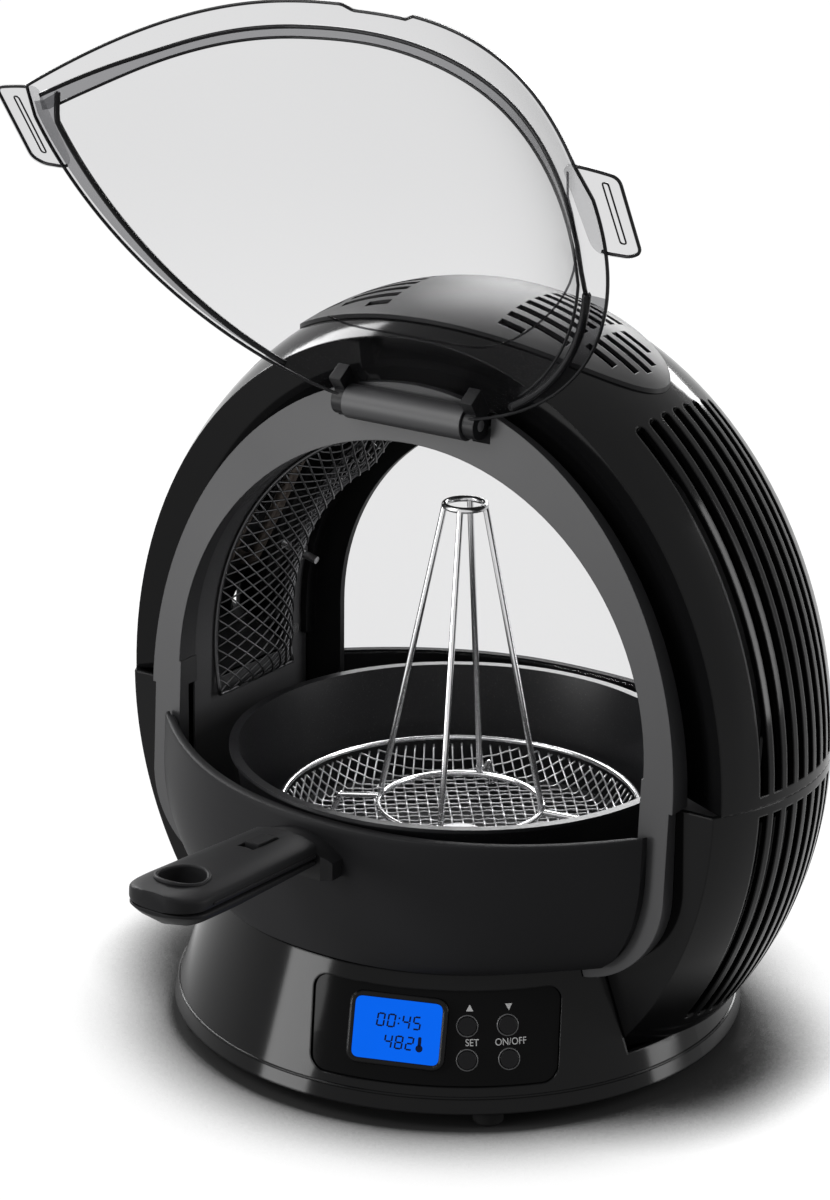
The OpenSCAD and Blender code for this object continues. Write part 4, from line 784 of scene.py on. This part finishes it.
def build_tray():
    """Woven tray with its rim wire and the boss over the hub."""
    half_count = int((MESH_REACH - 4) / MESH_PITCH + 0.5)
    paths = [mesh_wire(family, number) for family in (1, -1) for number in range(-half_count, half_count)]
    mesh = wires("tray_mesh", paths, 0.62, MESH, 5)
    ring = circle(RIM_R - RIM_WIRE, RIM_TOP - RIM_WIRE, 96)
    rim = wires("tray_rim", [(ring, True)], RIM_WIRE, WIRE, 12)
    boss = add_piece("tray_boss", *disc_shape(15, 97.4, 99.6), STEEL)
    smooth_by_angle(boss, 30)
    finish_piece(mesh, "turntable", "bright", "tray_floor", "tray_side")
    finish_piece(rim, "turntable", "bright", "tray_side")
    finish_piece(boss, "turntable", "bright", "tray_floor")


CHAMBER_Z = 185.0
GUARD_INSET = 2.0
GUARD_LINES = 22
GUARD_LEAN = 8
HEM_WIRE = 1.2


def guard_point(s, t):
    """A point of the bowed guard; s runs up round the chamber, t from front to back."""
    angle = math.radians(-11 + 76 * s)
    front, back = GUARD_FRONT + GUARD_INSET, GUARD_BACK - GUARD_INSET
    bulge = 19 * min(1, math.sin(math.pi * s) * 3) ** 0.5 * math.sin(math.pi * t) ** 0.8
    r = -GUARD_LEFT - HEM_WIRE - bulge
    return Vector((-r * math.cos(angle), front + (back - front) * t, CHAMBER_Z + r * math.sin(angle)))


def guard_wire(family, number):
    points = []
    for t in steps(32):
        s = (number + GUARD_LEAN * t) / GUARD_LINES
        if 0 <= s <= 1:
            point = guard_point(s, t if family > 0 else 1 - t)
            outward = Vector((point.x, 0, point.z - CHAMBER_Z)).normalized()
            points.append(point + outward * 0.4 * family)
    return points, False


def build_guard():
    paths = [guard_wire(family, number) for family in (1, -1) for number in range(-GUARD_LEAN, GUARD_LINES)]
    mesh = wires("guard_mesh", [path for path in paths if len(path[0]) > 3], 0.6, GUARD, 5)
    hem = [([guard_point(t, edge) for t in steps(40)], False) for edge in (0, 1)]
    hem += [([guard_point(edge, t) for t in steps(30)], False) for edge in (0, 1)]
    frame_wire = wires("guard_hem", hem, HEM_WIRE, GUARD)
    for piece in (mesh, frame_wire):
        finish_piece(piece, "housing", "steel", "heater_guard")


# ---------- handle ----------
HANDLE_X = (HANDLE_LEFT + HANDLE_RIGHT) / 2
HANDLE_SPLIT_Z = 135.0
HANDLE_LEN = 110.0
HANDLE_TILT = math.radians(3.5)
ROOT_HALF = 20.0
TIP_HALF = 22.5
TIP_CORNER = 15.75
TOP_Z = 147.0
TOP_R = 65.0
UNDER_Z = 123.0
UNDER_R = 34.0
HOLE_OUT = 86.0
HOLE_R = 12.2
RING_R = 13.2
SQUARENESS = 0.30
HANDLE_SIDES = 48


def on_handle(x, out, z):
    """A point of the level handle, out from its root, on the tilted one."""
    pivot = Vector((HANDLE_X, SOCKET_FRONT, HANDLE_SPLIT_Z))
    return pivot + Matrix.Rotation(-HANDLE_TILT, 3, "X") @ Vector((x, -out, z - HANDLE_SPLIT_Z))


def grip_half(out):
    straight = HANDLE_LEN - TIP_CORNER
    if out <= straight:
        return ROOT_HALF + (TIP_HALF - ROOT_HALF) * out / straight
    return TIP_HALF - TIP_CORNER + math.sqrt(max(0, TIP_CORNER ** 2 - (out - straight) ** 2))


def grip_top(x, out):
    nose = 26
    drop = 2.6 * max(0, (out - (HANDLE_LEN - nose)) / nose) ** 2
    return TOP_Z - (TOP_R - math.sqrt(TOP_R ** 2 - x * x)) - drop


def grip_low(x, out):
    chin = 20
    rise = 9.5 * max(0, (out - (HANDLE_LEN - chin)) / chin) ** 2.2
    return UNDER_Z + (UNDER_R - math.sqrt(UNDER_R ** 2 - x * x)) + max(rise, 3 - out * 0.045)


def squared(value):
    """Pushes a sine or cosine outward, so that a ring of points turns into a rounded box."""
    return math.copysign(abs(value) ** SQUARENESS, value)


def handle_ring(out, is_upper):
    wide = max(6.8, grip_half(out)) - (0.0 if is_upper else 0.5)
    ring = []
    for a in turns(HANDLE_SIDES):
        x = wide * squared(math.cos(a))
        if is_upper:
            low, high = HANDLE_SPLIT_Z + 0.15, grip_top(x, out)
        else:
            low, high = min(HANDLE_SPLIT_Z - 1, grip_low(x, out)), HANDLE_SPLIT_Z - 0.25
        ring.append(on_handle(x, out, (low + high) / 2 + (high - low) / 2 * squared(math.sin(a))))
    return ring


def handle_half(name, is_upper):
    rows = []
    for t in steps(72):
        out = 0.9 + (HANDLE_LEN - 1.0) * (t + (math.sin(math.pi * t) / math.pi) * 0.35 * t)
        rows.append(handle_ring(min(out, HANDLE_LEN - 0.02), is_upper))
    piece = add_piece(name, *tube_shape(rows), GRIP)
    recalc(piece)
    return piece


def handle_cutter(name, verts, faces):
    cutter = add_piece(name, [on_handle(*v) for v in verts], faces, GRIP)
    recalc(cutter)
    return cutter


def build_handle():
    upper = handle_half("handle_top_half", True)
    lower = handle_half("handle_bottom_half", False)
    hole_ends = [[(x, HOLE_OUT + y, z) for x, y, z in circle(HOLE_R, level, 48)] for level in (110, 160)]
    hole = handle_cutter("hole_cutter", *tube_shape(hole_ends))
    latch = handle_cutter("latch_cutter", *box_shape((-5, 12.2, 136.2), (5, 35, 160)))
    for piece, cutters, node in ((upper, (hole, latch), "handle_upper"), (lower, (hole,), "handle_lower")):
        cut_with(piece, cutters)
        smooth_by_angle(piece, 42)
        finish_piece(piece, "pan", "trim", node)
    for cutter in (hole, latch):
        bpy.data.objects.remove(cutter)
    ring = [on_handle(x, HOLE_OUT + y, grip_top(x, HOLE_OUT) - 0.35) for x, y, _ in circle(RING_R, 0, 64)]
    finish_piece(wires("hole_ring", [(ring, True)], 1.25, GRIP, 10), "pan", "trim")
    seams = [[on_handle(side * (grip_half(out) - 0.1), out, HANDLE_SPLIT_Z + 3.2)
              for out in (2 + 88 * t for t in steps(40))] for side in (-1, 1)]
    finish_piece(wires("handle_bead", [(path, False) for path in seams], 0.7, GRIP), "pan", "trim")


# ---------- controls ----------
BASE_TOP_R = 133.5
BEAD_Z = 17
BASE_SLOPE = math.atan((BASE_R - BASE_TOP_R) / (BASE_TOP - BASE_LOW))
DISPLAY_ANGLE = 20.5
DISPLAY_Z = 48
KEY_ANGLES = (35.5, 44)
KEY_ROWS = (52, 35.5)
KEY_RING_R = 5.4
KEY_RING_OUT = -1.1
PRINT_OUT = -1.05
INK_OUT = -0.68

SEGMENTS = {"0": "abcdef", "1": "bc", "2": "abged", "3": "abgcd", "4": "fgbc", "5": "afgcd",
            "6": "afgedc", "7": "abc", "8": "abcdefg", "9": "abcdfg"}
DIGIT_W = 4.4
DIGIT_H = 7.2
DIGIT_BAR = 0.9
DIGIT_GAP = 1.25
DIGIT_LEAN = 0.10
LETTER_SIZE = 5.2
LETTER_WIDTH = 0.88


def base_r(z):
    return BASE_R - (z - BASE_LOW) * (BASE_R - BASE_TOP_R) / (BASE_TOP - BASE_LOW)


def on_base(angle, z, out=0.0):
    """Matrix of a place on the sloping base: x along it, y up it, z outward."""
    turn = Matrix.Rotation(math.radians(angle), 4, "Z") @ Matrix.Translation((0, -base_r(z), z))
    return turn @ Matrix.Rotation(math.pi / 2 - BASE_SLOPE, 4, "X") @ Matrix.Translation((0, 0, out))


def wrapped(angle, z, point, out):
    """A flat point laid on the round, sloping base about a place."""
    x, y, lift = point
    reached = angle + math.degrees(x / base_r(z))
    return on_base(reached, z + y * math.cos(BASE_SLOPE), out + lift).translation


def on_display(point, level):
    x, y, lift = point
    return on_base(DISPLAY_ANGLE, DISPLAY_Z) @ Vector((x, y, level + lift))


def label(name, verts, faces, move, material, slot):
    piece = add_piece(name, [move(Vector(v)) for v in verts], faces, material, False)
    finish_piece(piece, "housing", slot)


def ink(name, verts, faces):
    label(name, verts, faces, lambda point: on_display(point, INK_OUT), INK, "display")


def printed(name, verts, faces, angle, z):
    label(name, verts, faces, lambda point: wrapped(angle, z, point, PRINT_OUT), PRINT, "trim")


def digits(name, text, left, low):
    """Seven-segment figures as flat shapes on the display."""
    verts, faces = [], []

    def bar(x0, y0, x1, y1):
        start = len(verts)
        for x, y in ((x0, y0), (x1, y0), (x1, y1), (x0, y1)):
            verts.append((x + (y - low) * DIGIT_LEAN, y, 0))
        faces.append(tuple(range(start, start + 4)))

    w, h, t = DIGIT_W, DIGIT_H, DIGIT_BAR
    mid = low + h / 2
    top = low + h
    x = left
    for mark in text:
        if mark == ":":
            for y in (low + h * 0.28, low + h * 0.66):
                bar(x, y, x + t, y + t)
            x += t + DIGIT_GAP
            continue
        bars = {"a": (x + t, top - t, x + w - t, top),
                "g": (x + t, mid - t / 2, x + w - t, mid + t / 2),
                "d": (x + t, low, x + w - t, low + t),
                "f": (x, mid + t / 4, x + t, top - t / 2),
                "b": (x + w - t, mid + t / 4, x + w, top - t / 2),
                "e": (x, low + t / 2, x + t, mid - t / 4),
                "c": (x + w - t, low + t / 2, x + w, mid - t / 4)}
        for segment in SEGMENTS[mark]:
            bar(*bars[segment])
        x += w + DIGIT_GAP
    ink(name, verts, faces)


def words(name, text, angle, z):
    curve = bpy.data.curves.new(name, "FONT")
    curve.body = text
    curve.size = LETTER_SIZE
    curve.align_x = "CENTER"
    curve.align_y = "CENTER"
    writing = bpy.data.objects.new(name, curve)
    bpy.context.scene.collection.objects.link(writing)
    bpy.context.view_layer.update()
    shown = writing.evaluated_get(bpy.context.evaluated_depsgraph_get())
    mesh = bpy.data.meshes.new_from_object(shown)
    verts = [(v.co.x * LETTER_WIDTH, v.co.y, 0) for v in mesh.vertices]
    faces = [tuple(p.vertices) for p in mesh.polygons]
    bpy.data.objects.remove(writing)
    printed(name, verts, faces, angle, z)


def build_display():
    """Blue display with a raised frame; the time and the heat in seven-segment figures."""
    outline = rounded_box(-22.2, 24.2, -16, 16, 4.5)
    ends = [Vector((p.x, p.y, back)) for back in (0, -1.6) for p in outline]
    verts = [on_display(v, -0.75) for v in ends]
    glass = add_piece("display_glass", verts, prism_faces(len(outline)), LENS, False)
    recalc(glass)
    finish_piece(glass, "housing", "display", "display_lens")
    path = [(p.x, p.y, 0) for p in rounded_box(-23.5, 25.5, -17.3, 17.3, 5.6)]
    section = [(-1.5, -3.4), (1.5, -3.4), (1.5, 0.1), (1.1, 0.75), (0.3, 1.0), (-0.5, 1.0),
               (-1.2, 0.7), (-1.5, 0.1)]
    verts, faces = sweep(path, section, True)
    ring = add_piece("display_frame", [on_display(v, -1.0) for v in verts], faces, GLOSS)
    recalc(ring)
    smooth_by_angle(ring, 50)
    finish_piece(ring, "housing", "trim")
    digits("time_digits", "00:45", -10.5, 1.2)
    digits("heat_digits", "482", -5.7, -9.6)
    stem = [(x, y, 0) for x, y in rounded_box(12.5, 14.3, -7.0, -2.0, 0.9)]
    bulb = [(13.4 + x, -8.0 + y, 0) for x, y, _ in circle(1.9, 0, 20)]
    outlines = [tuple(range(len(stem))), tuple(range(len(stem), len(stem) + len(bulb)))]
    ink("heat_mark", stem + bulb, outlines)


def build_controls():
    build_display()
    for name, angle, flip in (("arrow_up", 36.0, 1), ("arrow_down", 44.4, -1)):
        verts = [(-1.9, -1.7 * flip, 0), (1.9, -1.7 * flip, 0), (0, 1.8 * flip, 0)]
        printed(name, verts, [(0, 1, 2) if flip > 0 else (0, 2, 1)], angle, 60.8)
    words("set_word", "SET", 36.5, 43.8)
    words("on_off_word", "ON/OFF", 44.5, 43.8)
    # Raised rings round the keys, in the paler colour that paints their highlight.
    rings = [([wrapped(angle, z, point, KEY_RING_OUT) for point in circle(KEY_RING_R, 0, 40)], True)
             for angle in KEY_ANGLES for z in KEY_ROWS]
    finish_piece(wires("key_rings", rings, 0.4, KEY_RIM_HIGHLIGHT), "housing", "trim")
    bead = circle(base_r(BEAD_Z), BEAD_Z, 128)
    finish_piece(wires("base_bead", [(bead, True)], 0.9, GLOSS), "housing", "trim")


# ---------- studio ----------
FLOOR_HALF = 6000
SHADE_REACH = 0.075
LAMPS = (
    # name, place, target, width, height, watts
    ("key_soft", (-900, -1300, 1500), (0, 0, 200), 900, 900, 26),
    ("front_low", (-900, -1400, 260), (0, 0, 100), 600, 500, 14),
    ("right_strip", (1450, 800, 500), (0, 0, 200), 500, 1500, 22),
    ("left_strip", (-1500, 500, 1050), (0, 0, 300), 420, 1000, 25),
    ("top_soft", (-600, 1100, 1400), (0, 0, 250), 900, 500, 30),
    ("back_rim", (-500, 1700, 900), (0, 0, 250), 1200, 300, 18),
)


def floor_finish():
    """White sweep; the glow that keeps it white fades where the oven shades it."""
    f = Finish("studio_floor", Roughness=0.9, Base_Color=(0.03, 0.03, 0.03), Specular_IOR_Level=0.0)
    open_sky = f.node("ShaderNodeAmbientOcclusion", {"samples": 16}, {"Distance": SHADE_REACH}, out="AO")
    shade = ((open_sky - 0.62) * 2.9).maximum(0.0).minimum(1.0) ** 1.5
    f.set("Emission Color", f.mix(f.seen_directly() * shade, (0, 0, 0), (1, 1, 1)))
    f.set("Emission Strength", 1.0)
    return f.material


def build_room():
    """White all round to the eye and in reflections, and a softer light on the oven."""
    scene = bpy.context.scene
    scene.view_settings.view_transform = "Standard"
    scene.world = bpy.data.worlds.new("studio")
    scene.world.use_nodes = True
    room = Graph(scene.world.node_tree)
    back = room.tree.nodes["Background"]
    room.feed(back.inputs["Color"], (1, 1, 1))
    room.feed(back.inputs["Strength"], 0.45 + room.seen_directly() * 0.55)
    square = [(x * FLOOR_HALF, y * FLOOR_HALF, 0) for x, y in ((-1, -1), (1, -1), (1, 1), (-1, 1))]
    floor = add_piece("floor", square, [(0, 1, 2, 3)], floor_finish(), False)


def build_lamp(name, place, target, width, height, watts):
    light = bpy.data.lights.new(name, "AREA")
    light.shape = "RECTANGLE"
    light.size = width * MM
    light.size_y = height * MM
    light.energy = watts
    lamp = bpy.data.objects.new(name, light)
    lamp.location = Vector(place) * MM
    lamp.rotation_euler = (Vector(target) - Vector(place)).to_track_quat("-Z", "Y").to_euler()
    bpy.context.scene.collection.objects.link(lamp)


def build_camera():
    """Long lens from the front right, a little above the oven."""
    turn, lift, roll = math.radians(34.205), math.radians(18.862), math.radians(0.646)
    distance, aside, raised = 1897.02, -26.075, 221.648
    back = Vector((math.sin(turn) * math.cos(lift), -math.cos(turn) * math.cos(lift), math.sin(lift)))
    right = Vector((math.cos(turn), math.sin(turn), 0))
    up = back.cross(right)
    place = back * distance + right * aside + up * raised
    rolled_right = right * math.cos(roll) + up * math.sin(roll)
    rolled_up = up * math.cos(roll) - right * math.sin(roll)
    camera = bpy.data.objects.new("camera", bpy.data.cameras.new("camera"))
    camera.data.sensor_width = 36
    camera.data.lens = 102.1281
    camera.data.clip_end = 50
    matrix = Matrix((rolled_right, rolled_up, back)).transposed().to_4x4()
    matrix.translation = place * MM
    camera.matrix_world = matrix
    bpy.context.scene.collection.objects.link(camera)
    bpy.context.scene.camera = camera


dress_frame()
build_lid()
build_pan_front()
build_rear()
build_louvre_shade_sheets()
build_tray()
build_guard()
build_handle()
build_controls()
build_room()
for lamp_facts in LAMPS:
    build_lamp(*lamp_facts)
build_camera()
